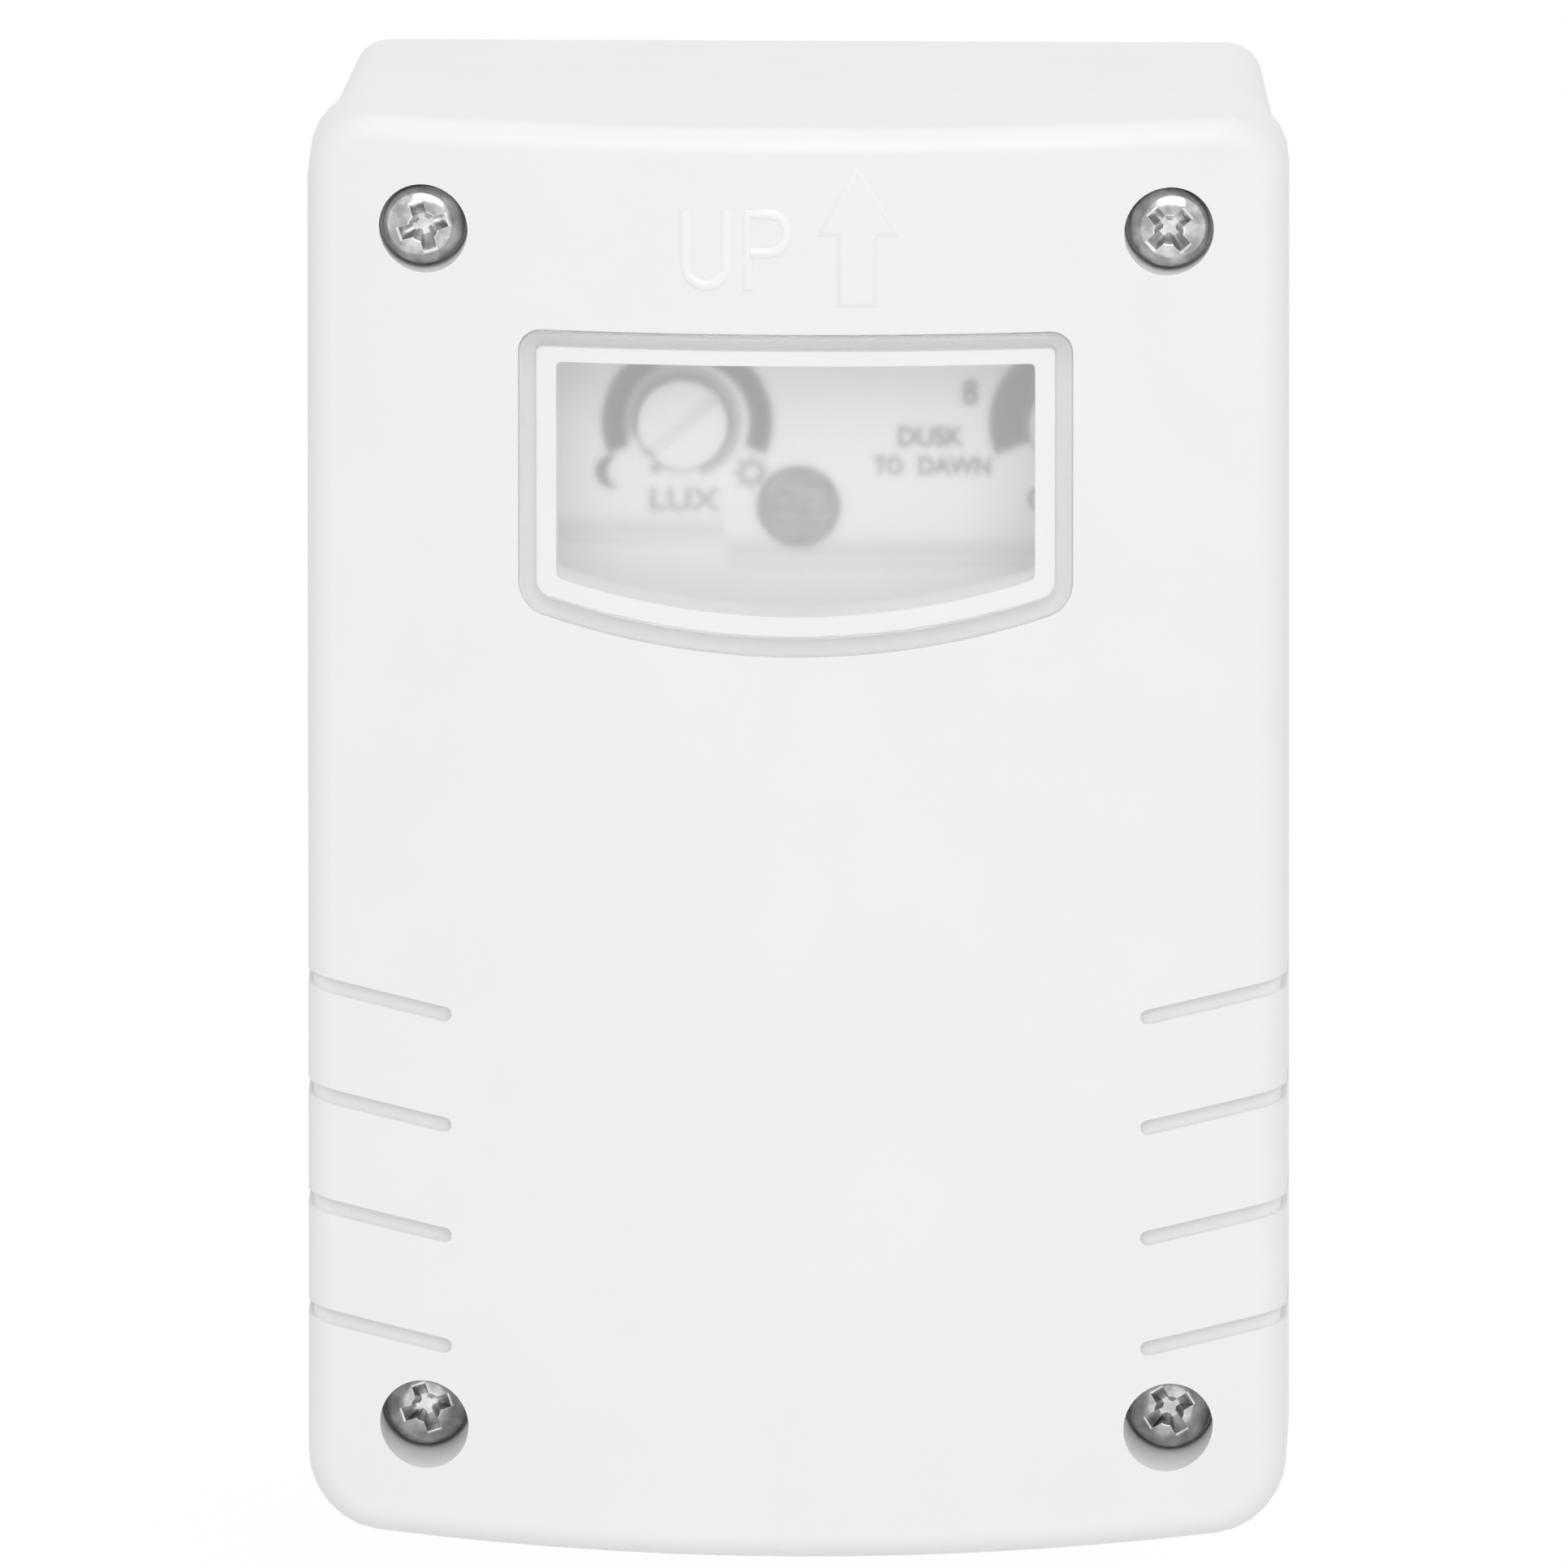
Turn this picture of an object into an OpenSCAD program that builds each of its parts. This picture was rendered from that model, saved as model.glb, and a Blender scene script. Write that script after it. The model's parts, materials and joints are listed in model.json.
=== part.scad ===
// Photocell (twilight) switch in a moulded wall box, with a bow-fronted cover, a window over
// two setting knobs and a light sensor, and a relay board behind them.
// World frame: +X right, +Z up, the wall is the plane Y = 0 and the front looks along -Y.
// Every piece is drawn in a front frame (x right, y up, z out of the wall) and turned once.

/* [Cover] */
// Width of the front cover
cover_w = 68; // [66:0.5:74]
// Height of the front cover at its sides
cover_h = 99.6; // [97:0.2:108]
// Corner radius of the cover, seen from the front
cover_corner = 4.8; // [4:0.1:6.5]
// Rounding of the cover's front edge
cover_edge = 1.8; // [1:0.1:2.2]
// Wall of the cover
cover_wall = 2.2; // [1.8:0.1:2.6]
// Distance from the wall to the front of the cover at mid height
apex_depth = 41; // [40.4:0.2:44]
// Radius of the bowed front, across the width
bow_radius = 115; // [100:1:200]
// Lean of the front: the foot stands further out than the top
front_lean = 3; // [2:0.25:4]
// How far the bottom edge bows down at its middle
bottom_bow = 1.2; // [0:0.1:1.6]

/* [Grooves] */
// Number of grooves on each side
groove_count = 4; // [2:1:5]
// Distance between grooves
groove_pitch = 7.8; // [6:0.05:8.4]
// Length of a groove across the front, from the side
groove_run = 9.55; // [6:0.05:12]
// Height of the lowest groove's inner end above the cover's foot
groove_foot = 13.35; // [13:0.05:16]
// Width of a groove
groove_w = 1.05; // [0.8:0.05:1.6]
// Depth of a groove on the front
groove_depth = 0.8; // [0.4:0.1:1.2]
// Depth of a groove on the side
groove_side = 0.4; // [0.2:0.05:0.8]
// Slope of the grooves, falling towards the middle
groove_slope = 10.5; // [0:0.5:20]

/* [Window] */
// Width of the window lens
window_w = 38.3; // [34:0.1:40]
// Height of the window lens, from its top edge to its lowest point
window_h = 22.5; // [20:0.1:24]
// Distance from the top of the cover to the top of the lens
window_drop = 14.4; // [13.5:0.1:17]
// Radius of the lens's bowed bottom edge
window_arc = 59.8; // [45:0.1:90]
// Radius of the lens's upper corners
window_corner = 1.5; // [0.8:0.1:2.4]
// Radius of the lens's lower corners
window_low_corner = 2.4; // [1.6:0.1:3]
// Thickness of the lens
lens_t = 1.4; // [1:0.1:1.8]
// How far the lens stands out of the cover
lens_proud = 0.5; // [0.2:0.1:0.8]
// Width of the skirt round the lens
lens_skirt = 1.15; // [0.8:0.05:1.5]
// Length of the skirt behind the lens
lens_skirt_h = 1.2; // [0.8:0.1:1.6]
// Width of the cover's lip between the skirt and the opening
window_lip = 1.25; // [0.8:0.05:1.8]
// How much narrower that lip is along the top
lip_relief = 0.35; // [0:0.05:0.5]
// Depth of the frame round the opening, behind the front
window_frame_h = 4.6; // [4:0.1:5.4]
// Wall of that frame outside the lens
window_frame_wall = 1.6; // [1:0.1:2.2]
// Clearance round the lens
lens_gap = 0.1; // [0.05:0.01:0.2]

/* [Box] */
// Depth of the box, from the wall to the joint with the cover
box_depth = 25.3; // [24.4:0.1:27]
// Wall of the box
box_wall = 2.2; // [1.8:0.1:2.6]
// Floor of the box
box_floor = 2.4; // [2:0.1:3]
// Draft of the box sides, in degrees
box_draft = 4; // [0.5:0.25:4.5]
// How far the cover stands over the box
cover_overhang = 0.6; // [0.3:0.1:0.9]
// Width of the seal between cover and box
seal_w = 0.9; // [0.7:0.05:1]
// Height of the seal in its groove
seal_h = 1; // [0.6:0.1:1.4]
// Clearance round the seal
seal_gap = 0.08; // [0.05:0.01:0.15]
// Land of the cover's rim inside the seal
seal_land = 0.5; // [0.4:0.05:0.6]
// Thickness of the tongue that centres the cover on the box
tongue_t = 1; // [0.8:0.1:1.4]
// Height of that tongue over the joint
tongue_h = 2; // [1:0.1:2.6]
// Clearance between tongue and cover
tongue_gap = 0.15; // [0.1:0.05:0.3]

/* [Cover screws] */
// Distance of the screws from the cover's sides
screw_side = 8.15; // [7.6:0.05:9]
// Distance of the upper screws from the cover's top
screw_top = 7.6; // [7.2:0.1:8.2]
// Distance of the lower screws from the cover's foot
screw_foot = 7.7; // [7.2:0.1:8.4]
// Distance from the wall to the seats of the screw heads
seat_depth = 33; // [32:0.1:34]
// Radius of the screw wells
well_r = 3.1; // [2.95:0.05:3.4]
// Wall round a well
well_wall = 1.4; // [1:0.1:1.8]
// Floor of a well, under the head
well_floor = 2.2; // [1.6:0.1:3]
// Radius of the screw head
head_r = 2.8; // [2.4:0.05:2.85]
// Height of the screw head
head_h = 2.5; // [1.8:0.1:2.8]
// Radius of the screw's shank
shank_r = 1.45; // [1.2:0.05:1.7]
// Length of the screw under its head
shank_l = 14; // [10:0.5:18]
// Radius of the box's screw posts
post_r = 3.6; // [3.2:0.1:4]
// Thickness of the ribs that tie a post to the box
rib_t = 1.6; // [1.2:0.1:2.2]
// Clearance of a screw in the hole that it cuts its thread in
thread_gap = 0.05; // [0.03:0.01:0.1]
// Clearance of a screw in a plain hole
pass_gap = 0.25; // [0.15:0.05:0.4]

/* [Wall fixing and cable entries] */
// Distance between the two wall holes
wall_pitch = 84; // [82:0.5:85]
// Radius of the wall holes
wall_hole_r = 2.25; // [2:0.05:2.6]
// Distance of each cable entry from the middle
entry_x = 13; // [11.5:0.1:13.6]
// Distance of the cable entries from the wall
entry_depth = 13; // [12.4:0.1:13.6]
// Radius of the entry hole in the box
entry_r = 8; // [7:0.1:8.4]
// Radius of the cable hole in the grommet
cable_r = 3.2; // [2.5:0.1:4]
// How far the grommet's flanges reach past the entry hole
flange_over = 1.4; // [1:0.1:1.6]
// Thickness of a grommet flange
flange_t = 1.2; // [0.8:0.1:1.3]
// Clearance between grommet and box
grommet_gap = 0.05; // [0.02:0.01:0.1]

/* [Board] */
// Width of the circuit board
board_w = 52; // [51:0.5:54]
// Thickness of the circuit board
board_t = 1.6; // [1:0.1:2]
// Distance from the wall to the back of the board
board_depth = 9; // [8:0.1:9.4]
// Distance from the top of the cover to the top of the board
board_drop = 12.4; // [12:0.1:12.6]
// Distance from the foot of the cover to the foot of the board
board_foot = 15; // [14.6:0.1:15.6]
// Distance of the board fixings from the board's sides
fixing_side = 3.5; // [3.2:0.1:4]
// Distance of the upper fixings below the top of the cover
fixing_drop = 15; // [14.6:0.1:15.1]
// Height of the middle fixings above the inner cover's foot
fixing_rise = 4; // [3.6:0.1:4.4]
// Height of the lower fixings above the foot of the cover
fixing_foot = 19.6; // [19:0.1:20.4]
// Radius of the pillars under the board
pillar_r = 2.6; // [2.3:0.1:2.8]
// Radius of the board screws
board_screw_r = 1.2; // [1:0.05:1.3]
// Radius of the board screws' heads
board_head_r = 2.2; // [1.9:0.05:2.3]
// Height of the board screws' heads
board_head_h = 1.6; // [1.2:0.1:1.8]
// Depth to which the board screws reach into their pillars
board_screw_bite = 5.5; // [4:0.1:6]

/* [Inner cover and dials] */
// Distance from the wall to the front of the inner cover
dial_depth = 29.25; // [28.6:0.05:29.8]
// Thickness of the inner cover's front
dial_t = 1.6; // [1.3:0.1:1.8]
// Wall of the inner cover's skirt
inner_wall = 1.4; // [1:0.1:1.5]
// Reach of the inner cover past the board's sides
inner_over = 1; // [0.6:0.1:1.5]
// Distance of the inner cover below the top of the cover
inner_drop = 11.6; // [11.4:0.1:12]
// Corner radius of the inner cover
inner_corner = 3; // [2:0.1:4]
// Length of the inner cover's skirt
inner_skirt = 13; // [8:0.5:15]
// Thickness of the printed dial sheet
sheet_t = 0.25; // [0.15:0.05:0.35]
// Height of the sheet above the knobs
sheet_head = 6.9; // [6:0.1:6.9]
// Reach of the sheet below the sensor, on its left part
sheet_foot = 2.4; // [2:0.1:3]
// Step down of the sheet's foot, on its right part
sheet_step = 1.6; // [0.5:0.1:2.5]
// Radius of the knobs
knob_r = 3.1; // [2.7:0.05:3.4]
// Height of a knob in front of the dial sheet
knob_proud = 0.9; // [0.4:0.1:1.4]
// Thickness of a knob's head
knob_t = 2.4; // [1.8:0.1:3]
// Radius of a knob's stem
stem_r = 1.5; // [1.2:0.05:1.8]
// Width of the screwdriver slot in a knob
slot_w = 0.9; // [0.6:0.1:1.2]
// Depth of the screwdriver slot in a knob
slot_depth = 0.8; // [0.5:0.1:1.2]
// Gap between a knob and the hole round it
knob_gap = 0.3; // [0.3:0.05:0.8]
// Running clearance of a stem in its setting resistor
stem_gap = 0.05; // [0.03:0.01:0.08]
// Place of the light knob, right of the middle
lux_x = -8; // [-9:0.1:-7]
// Distance of the time knob from the inner cover's right side
timer_side = 7.9; // [7.6:0.1:8.4]
// Distance of both knobs below the top of the cover
knob_drop = 22.7; // [22.4:0.1:24]
// Turn of the light knob's slot from level
lux_turn = 42; // [0:1:90]
// Turn of the time knob's slot from level
timer_turn = 135; // [90:1:180]
// Width of a setting resistor
trimmer_w = 7.6; // [6.6:0.1:7.8]
// Height of a setting resistor on the board
trimmer_h = 5.4; // [4.5:0.1:6.5]
// Distance of the light sensor below the top of the cover
sensor_drop = 28.7; // [28.2:0.1:29.4]
// Radius of the light sensor
sensor_r = 2.6; // [2.2:0.05:2.7]
// Thickness of the light sensor
sensor_t = 2.2; // [1.8:0.1:2.6]
// Gap between the light sensor and its hole
sensor_gap = 0.3; // [0.2:0.05:0.4]

/* [Relay and capacitors] */
// Width of the relay
relay_w = 15.5; // [14:0.1:16]
// Length of the relay
relay_l = 19; // [17:0.1:19.6]
// Height of the relay
relay_h = 15.3; // [12:0.1:16]
// Place of the relay, right of the middle
relay_x = -9; // [-9.6:0.1:-8.6]
// Width of the film capacitor
film_w = 8; // [6:0.1:8.4]
// Length of the film capacitor
film_l = 18; // [14:0.1:19]
// Height of the film capacitor
film_h = 14.5; // [10:0.1:15.5]
// Place of the film capacitor, right of the middle
film_x = 4.2; // [3.8:0.1:4.4]
// Radius of the smoothing capacitor
can_r = 5; // [4:0.1:5.2]
// Height of the smoothing capacitor
can_h = 12.5; // [10:0.5:15]
// Groove and rim of the smoothing capacitor's can
can_bead = 0.4; // [0.2:0.05:0.6]
// Height of the groove round the can
can_neck = 2.2; // [1.6:0.1:3]
// Place of the smoothing capacitor, right of the middle
can_x = 14; // [13.6:0.1:14.6]

/* [Small parts on the board] */
// Radius of the surge absorber's disc
disc_r = 4.5; // [3.5:0.1:5]
// Thickness of the surge absorber's disc
disc_t = 3.6; // [2.6:0.1:4]
// Radius of the surge absorber's wires
disc_wire_r = 0.35; // [0.25:0.05:0.45]
// Height of the surge absorber over the board
disc_lift = 1.2; // [0.6:0.1:2]
// Place of the surge absorber, right of the middle
disc_x = 14.5; // [13.6:0.1:15]
// Gap between the surge absorber and the smoothing capacitor
disc_gap = 1.4; // [0.8:0.1:3]
// Length of the control chip
chip_l = 19; // [18:0.1:20]
// Width of the control chip
chip_w = 6.4; // [5.6:0.1:6.8]
// Thickness of the control chip
chip_t = 3.4; // [2.6:0.1:4]
// Width of the chip's legs
chip_leg_w = 0.5; // [0.4:0.05:0.7]
// Thickness of the chip's legs
chip_leg_t = 0.3; // [0.2:0.05:0.4]
// Distance between the chip's legs
chip_pitch = 2.54; // [2.3:0.01:2.6]
// Number of legs on each side of the chip
chip_legs = 7; // [4:1:7]
// Height of the chip over the board
chip_lift = 0.5; // [0.3:0.1:0.8]
// Place of the chip, right of the middle
chip_x = -9; // [-10:0.1:-8]
// Radius of a rectifier diode
diode_r = 1.35; // [1:0.05:1.5]
// Length of a rectifier diode
diode_l = 5.2; // [4:0.1:5.4]
// Distance between the diodes
diode_pitch = 9; // [8.8:0.1:9.6]
// Radius of a resistor
resistor_r = 1.15; // [0.9:0.05:1.3]
// Length of a resistor
resistor_l = 6.3; // [5:0.1:6.6]
// Distance between the rows of resistors
resistor_pitch = 2.9; // [2.7:0.1:3.4]
// Distance between the columns of resistors
resistor_step = 9.8; // [9.6:0.1:10.4]
// Middle of the resistors, right of the middle
resistor_x = 12.3; // [12:0.1:12.8]
// Radius of the wires of diodes and resistors
wire_lead_r = 0.35; // [0.25:0.05:0.45]
// Reach of those wires past the body
wire_lead = 1.4; // [1:0.1:1.6]

/* [Terminals] */
// Number of terminals
terminal_count = 4; // [2:1:4]
// Distance between the terminals
terminal_pitch = 7.2; // [6.6:0.1:7.4]
// Depth of the terminal block, along the height of the box
terminal_d = 11; // [10:0.1:11.4]
// Height of the terminal block on the board
terminal_h = 12; // [11:0.1:14]
// Bevel along the front of the terminal block
terminal_step = 1.2; // [0.6:0.1:1.6]
// Wall at the ends of the terminal block
terminal_wall = 0.6; // [0.4:0.1:1]
// Radius of the wire holes in the terminal block
wire_r = 1.7; // [1.2:0.1:1.9]
// Width of a terminal clamp
clamp_w = 4.4; // [4:0.1:5]
// Depth of a terminal clamp, along the wire
clamp_d = 6; // [5:0.1:7]
// Height of a terminal clamp
clamp_h = 6; // [5.6:0.1:7]
// Floor of the terminal block, under the clamps
clamp_lift = 1.4; // [1:0.1:2]
// Radius of the terminal screws
terminal_screw_r = 1.3; // [1:0.05:1.5]
// Radius of the terminal screws' heads
terminal_head_r = 1.9; // [1.6:0.05:2.1]
// Height of the terminal screws' heads
terminal_head_h = 1.5; // [1.2:0.1:2]
// Width of the slot in a terminal screw
terminal_slot = 0.6; // [0.4:0.1:0.8]
// Clearance of metal parts in the terminal block
terminal_gap = 0.1; // [0.05:0.01:0.15]

/* [Hidden] */

$fn = 64;
// Steps of the lofted cover: round a corner, over the front edge, across the bow
corner_steps = 6;
edge_steps = 5;
bow_steps = 14;
// Sides of a round that stands in for a large radius
bow_fn = 720;
// Overshoot of a cut
cut = 1;
// How far the window's lower corner arcs stand past its bowed foot, so that the arcs cross
corner_lap = 0.01;

cover_top = cover_h / 2;
cover_foot = -cover_h / 2;
half_w = cover_w / 2;

// Screws
screw_x = half_w - screw_side;
screw_places = [
    [-screw_x, cover_top - screw_top], [screw_x, cover_top - screw_top],
    [-screw_x, cover_foot + screw_foot], [screw_x, cover_foot + screw_foot]
];
post_top = seat_depth - well_floor;

// Window
window_top = cover_top - window_drop;
window_foot = window_top - window_h;
window_arc_y = window_foot + window_arc;
opening_inset = lens_skirt + 2 * lens_gap + window_lip;
lens_seat = lens_t - lens_proud;
skirt_seat = lens_seat + lens_skirt_h;

// Board, knobs and sensor
board_face = board_depth + board_t;
board_top = cover_top - board_drop;
board_low = cover_foot + board_foot;
sheet_front = dial_depth + sheet_t;
knob_y = cover_top - knob_drop;
knob_front = sheet_front + knob_proud;
sensor_y = cover_top - sensor_drop;
sensor_front = sheet_front;
sensor_back = sensor_front - sensor_t;

// Rows on the board, with equal gaps: terminals, the inner cover's foot, relay, diodes and chip
row_count = 5;
chip_row = chip_w + 2 * chip_leg_t;
row_space = sensor_y - sensor_r - board_low - terminal_d - inner_wall - relay_l - 2 * diode_r - chip_row;
row_gap = row_space / (row_count + 1);
terminal_y = board_low + row_gap + terminal_d / 2;
inner_low = terminal_y + terminal_d / 2 + row_gap;
relay_low = inner_low + inner_wall + row_gap;
relay_y = relay_low + relay_l / 2;
diode_y = relay_low + relay_l + row_gap + diode_r;
chip_y = diode_y + diode_r + row_gap + chip_row / 2;
can_y = relay_low + relay_l - can_r;
disc_y = can_y - can_r - disc_gap - disc_t / 2;
diode_count = 4;
terminal_row_w = terminal_count * terminal_pitch + 2 * terminal_wall;

// Inner cover and the fixings of the board
inner_w = board_w + 2 * inner_over;
inner_top = cover_top - inner_drop;
inner_back = dial_depth - dial_t;
timer_x = inner_w / 2 - timer_side;
leg_r = board_screw_r + pass_gap + inner_wall;
head_seat = dial_depth - board_head_h - pass_gap;
fixing_x = board_w / 2 - fixing_side;
fixing_top = cover_top - fixing_drop;
fixing_mid = inner_low + fixing_rise;
fixing_low = cover_foot + fixing_foot;
inner_fixings = [for (y = [fixing_top, fixing_mid], side = [-1, 1]) [side * fixing_x, y]];
low_fixings = [for (side = [-1, 1]) [side * fixing_x, fixing_low]];
board_fixings = concat(inner_fixings, low_fixings);

// Clamps of the terminals
clamp_depth = board_face + clamp_lift;
clamp_front = clamp_depth + clamp_h;
wire_depth = clamp_depth + clamp_h / 3;

// Wires of the light sensor
sensor_wire_r = 0.25;
sensor_wire_x = 0.85;

// Turn of each cover screw
screw_turns = [15, 35, 20, 30];

// Front of the cover over a place, and the same surface as a leaning round
function bow_drop(x) = bow_radius - sqrt(bow_radius * bow_radius - x * x);
function front_depth(x, y) = apex_depth - y * tan(front_lean) - bow_drop(x) / cos(front_lean);

module bow_solid(grow) {
    translate([0, 0, apex_depth])
        rotate([-front_lean, 0, 0])
            translate([0, 0, -bow_radius])
                rotate([90, 0, 0])
                    cylinder(r = bow_radius + grow, h = 2 * cover_h, center = true, $fn = bow_fn);
}

// Outline of the cover: corner arcs and straight runs, counter-clockwise from the right side
function arc(cx, cy, r, start) = [
    for (i = [0 : corner_steps])
        let (a = start + 90 * i / corner_steps)
            [cx + r * cos(a), cy + r * sin(a)]
];
function run(from, to, y) = [for (i = [1 : bow_steps - 1]) [from + (to - from) * i / bow_steps, y]];
function outline(w, h, r) =
    let (x = w / 2 - r, y = h / 2 - r)
        concat(arc(x, y, r, 0), run(x, -x, h / 2), arc(-x, y, r, 90),
            arc(-x, -y, r, 180), run(-x, x, -h / 2), arc(x, -y, r, 270));
function sagged(points, sag, w) = [
    for (p = points) p[1] > 0 ? p : [p[0], p[1] - sag * (1 - pow(2 * p[0] / w, 2))]
];
function cover_outline(inset, sag) =
    let (w = cover_w - 2 * inset)
        sagged(outline(w, cover_h - 2 * inset, max(cover_corner - inset, 0.3)), sag, w);
function box_outline(inset) =
    let (i = cover_overhang + inset)
        outline(cover_w - 2 * i, cover_h - 2 * i, max(cover_corner - i, 0.3));

function lifted(points, depth) = [for (p = points) [p[0], p[1], depth]];
function bowed(points, drop) = [for (p = points) [p[0], p[1], front_depth(p[0], p[1]) - drop]];

// Skin through rings of equal length. The last ring is closed by strips from its upper to its
// lower half, which stay flat on a surface that is straight from top to foot.
module loft(rings) {
    n = len(rings[0]);
    last = (len(rings) - 1) * n;
    sides = [
        for (k = [0 : len(rings) - 2], j = [0 : n - 1])
            let (a = k * n + j, b = k * n + (j + 1) % n)
                each [[a, a + n, b + n], [a, b + n, b]]
    ];
    back = [[for (j = [0 : n - 1]) j]];
    front = [for (i = [0 : n / 2 - 2]) [last + i, last + n - 1 - i, last + n - 2 - i, last + i + 1]];
    polyhedron(points = [for (ring = rings) each ring], faces = concat(back, sides, front), convexity = 6);
}

// Block with the cover's outline and its bowed, leaning, round-edged front
module bow_block(inset, back, drop, edge, sag) {
    rims = [
        for (k = [0 : edge_steps])
            let (a = 90 * k / edge_steps)
                bowed(cover_outline(inset + edge * (1 - cos(a)), sag), drop + edge * (1 - sin(a)))
    ];
    loft(concat([lifted(cover_outline(inset, sag), back)], rims));
}

// Block with the box's outline, narrowing towards the wall
module box_block(inset, back, front) {
    loft([
        lifted(box_outline(inset + (box_depth - back) * tan(box_draft)), back),
        lifted(box_outline(inset + (box_depth - front) * tan(box_draft)), front)
    ]);
}

module at(places) {
    for (p = places)
        translate([p[0], p[1], 0])
            children();
}

module rod(r, from, to) {
    translate([0, 0, from])
        cylinder(r = r, h = to - from);
}

module block(size, from) {
    translate([-size[0] / 2, -size[1] / 2, from])
        cube(size);
}

module rounded(w, h, r) {
    square([w - 2 * r, h], center = true);
    square([w, h - 2 * r], center = true);
    for (x = [-1, 1], y = [-1, 1])
        translate([x * (w / 2 - r), y * (h / 2 - r)])
            circle(r);
}

function to_micron(length) = floor(length * 1000) / 1000;

// Outline of the window, drawn in by an inset: straight top and sides, bowed foot, round corners
module window_outline(inset) {
    w = window_w / 2 - inset;
    top = window_top - inset;
    big = window_arc - inset;
    r = max(window_corner - inset, 0.4);
    low = max(window_low_corner - inset, 0.6);
    low_y = window_arc_y - to_micron(sqrt(pow(big - low, 2) - pow(w - low, 2))) - corner_lap;
    touch = to_micron((w - low) * big / (big - low));
    translate([-w, low_y])
        square([2 * w, top - r - low_y]);
    translate([-w + r, low_y])
        square([2 * (w - r), top - low_y]);
    for (x = [-1, 1]) {
        translate([x * (w - r), top - r])
            circle(r);
        translate([x * (w - low), low_y])
            circle(low);
    }
    intersection() {
        translate([0, window_arc_y])
            circle(big, $fn = bow_fn);
        translate([-touch, low_y - window_h])
            square([2 * touch, window_h + (top - low_y) / 2]);
    }
}

module window_prism(inset) {
    translate([0, 0, box_depth])
        linear_extrude(apex_depth)
            window_outline(inset);
}

module window_band(outer, inner) {
    difference() {
        window_prism(outer);
        window_prism(inner);
    }
}

// Cuts of the slanting grooves, deepest on the front and running round its edge to the side
module groove_cuts() {
    difference() {
        for (side = [-1, 1], i = [0 : groove_count - 1])
            mirror([side < 0 ? 1 : 0, 0, 0])
                translate([
                    half_w - groove_run, cover_foot + groove_foot + i * groove_pitch, box_depth + cover_wall
                ])
                    rotate([0, 0, groove_slope]) {
                        cylinder(d = groove_w, h = apex_depth);
                        translate([0, -groove_w / 2, 0])
                            cube([groove_run + 2 * cut, groove_w, apex_depth]);
                    }
        bow_block(groove_side, box_depth, groove_depth, cover_edge / 2, bottom_bow);
    }
}

// Ring under the rim of the cover that holds the seal
module seal_ring(grow, depth) {
    linear_extrude(depth)
        difference() {
            polygon(cover_outline(cover_wall - seal_land - seal_w - grow, 0));
            polygon(cover_outline(cover_wall - seal_land + grow, 0));
        }
}

// Tongue of the box, inside the cover's wall
module tongue() {
    inset = cover_wall + tongue_gap;
    translate([0, 0, box_depth - tongue_h])
        linear_extrude(2 * tongue_h)
            difference() {
                polygon(cover_outline(inset, 0));
                polygon(cover_outline(inset + tongue_t, 0));
            }
}

module front_cover_body() {
    difference() {
        union() {
            difference() {
                bow_block(0, box_depth, 0, cover_edge, bottom_bow);
                bow_block(cover_wall, box_depth - cut, cover_wall, cover_edge / 2, 0);
            }
            intersection() {
                at(screw_places)
                    rod(well_r + well_wall, post_top, apex_depth + cut);
                bow_solid(-cover_wall / 2);
            }
            difference() {
                intersection() {
                    window_prism(-window_frame_wall);
                    bow_solid(-cover_wall / 2);
                }
                bow_solid(-window_frame_h);
            }
        }
        at(screw_places) {
            rod(well_r, seat_depth, apex_depth + 3 * cut);
            rod(shank_r + pass_gap, box_depth, apex_depth);
        }
        for (rise = [0, lip_relief])
            translate([0, rise, 0])
                window_prism(opening_inset);
        difference() {
            window_prism(-lens_gap);
            bow_solid(-lens_seat);
        }
        difference() {
            window_band(-lens_gap, lens_skirt + lens_gap);
            bow_solid(-skirt_seat - lens_gap);
        }
        groove_cuts();
        translate([0, 0, box_depth - cut])
            seal_ring(seal_gap, seal_h + cut + seal_gap);
    }
}

module window_lens_body() {
    difference() {
        intersection() {
            window_prism(0);
            bow_solid(lens_proud);
        }
        bow_solid(-skirt_seat);
        intersection() {
            window_prism(lens_skirt);
            bow_solid(-lens_seat + lens_gap);
        }
    }
}

module back_box_body() {
    difference() {
        union() {
            difference() {
                box_block(0, 0, box_depth);
                box_block(box_wall, box_floor, box_depth + cut);
            }
            tongue();
            at(screw_places)
                rod(post_r, box_floor / 2, post_top);
            post_ribs();
            at(board_fixings)
                rod(pillar_r, box_floor / 2, board_depth);
            entries()
                entry_pad();
        }
        at(screw_places)
            rod(shank_r + thread_gap, seat_depth - shank_l - cut, seat_depth);
        at(board_fixings)
            rod(board_screw_r + thread_gap, board_depth - board_screw_bite - cut / 2, board_depth + cut);
        for (y = [-1, 1])
            translate([0, y * wall_pitch / 2, -cut])
                cylinder(r = wall_hole_r, h = box_floor + 2 * cut);
        entries() {
            rod(entry_r, -box_wall - 2 * flange_t, 2 * flange_t);
            rod(entry_r + flange_over + 2 * grommet_gap, -box_wall - 2 * flange_t, -box_wall);
        }
    }
}

// Ribs from each post to the nearest side of the box
module post_ribs() {
    intersection() {
        for (p = screw_places)
            translate([p[0] > 0 ? p[0] : -half_w, p[1] - rib_t / 2, box_floor / 2])
                cube([half_w - screw_x, rib_t, box_depth - 2 * cut - box_floor / 2]);
        box_block(box_wall / 2, 0, box_depth);
    }
}

// Frame of a cable entry: z points down out of the box, z = 0 on the outside of its bottom wall
module entries() {
    for (side = [-1, 1])
        translate([side * entry_x, cover_foot + cover_overhang, entry_depth])
            rotate([90, 0, 0])
                children();
}

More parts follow.
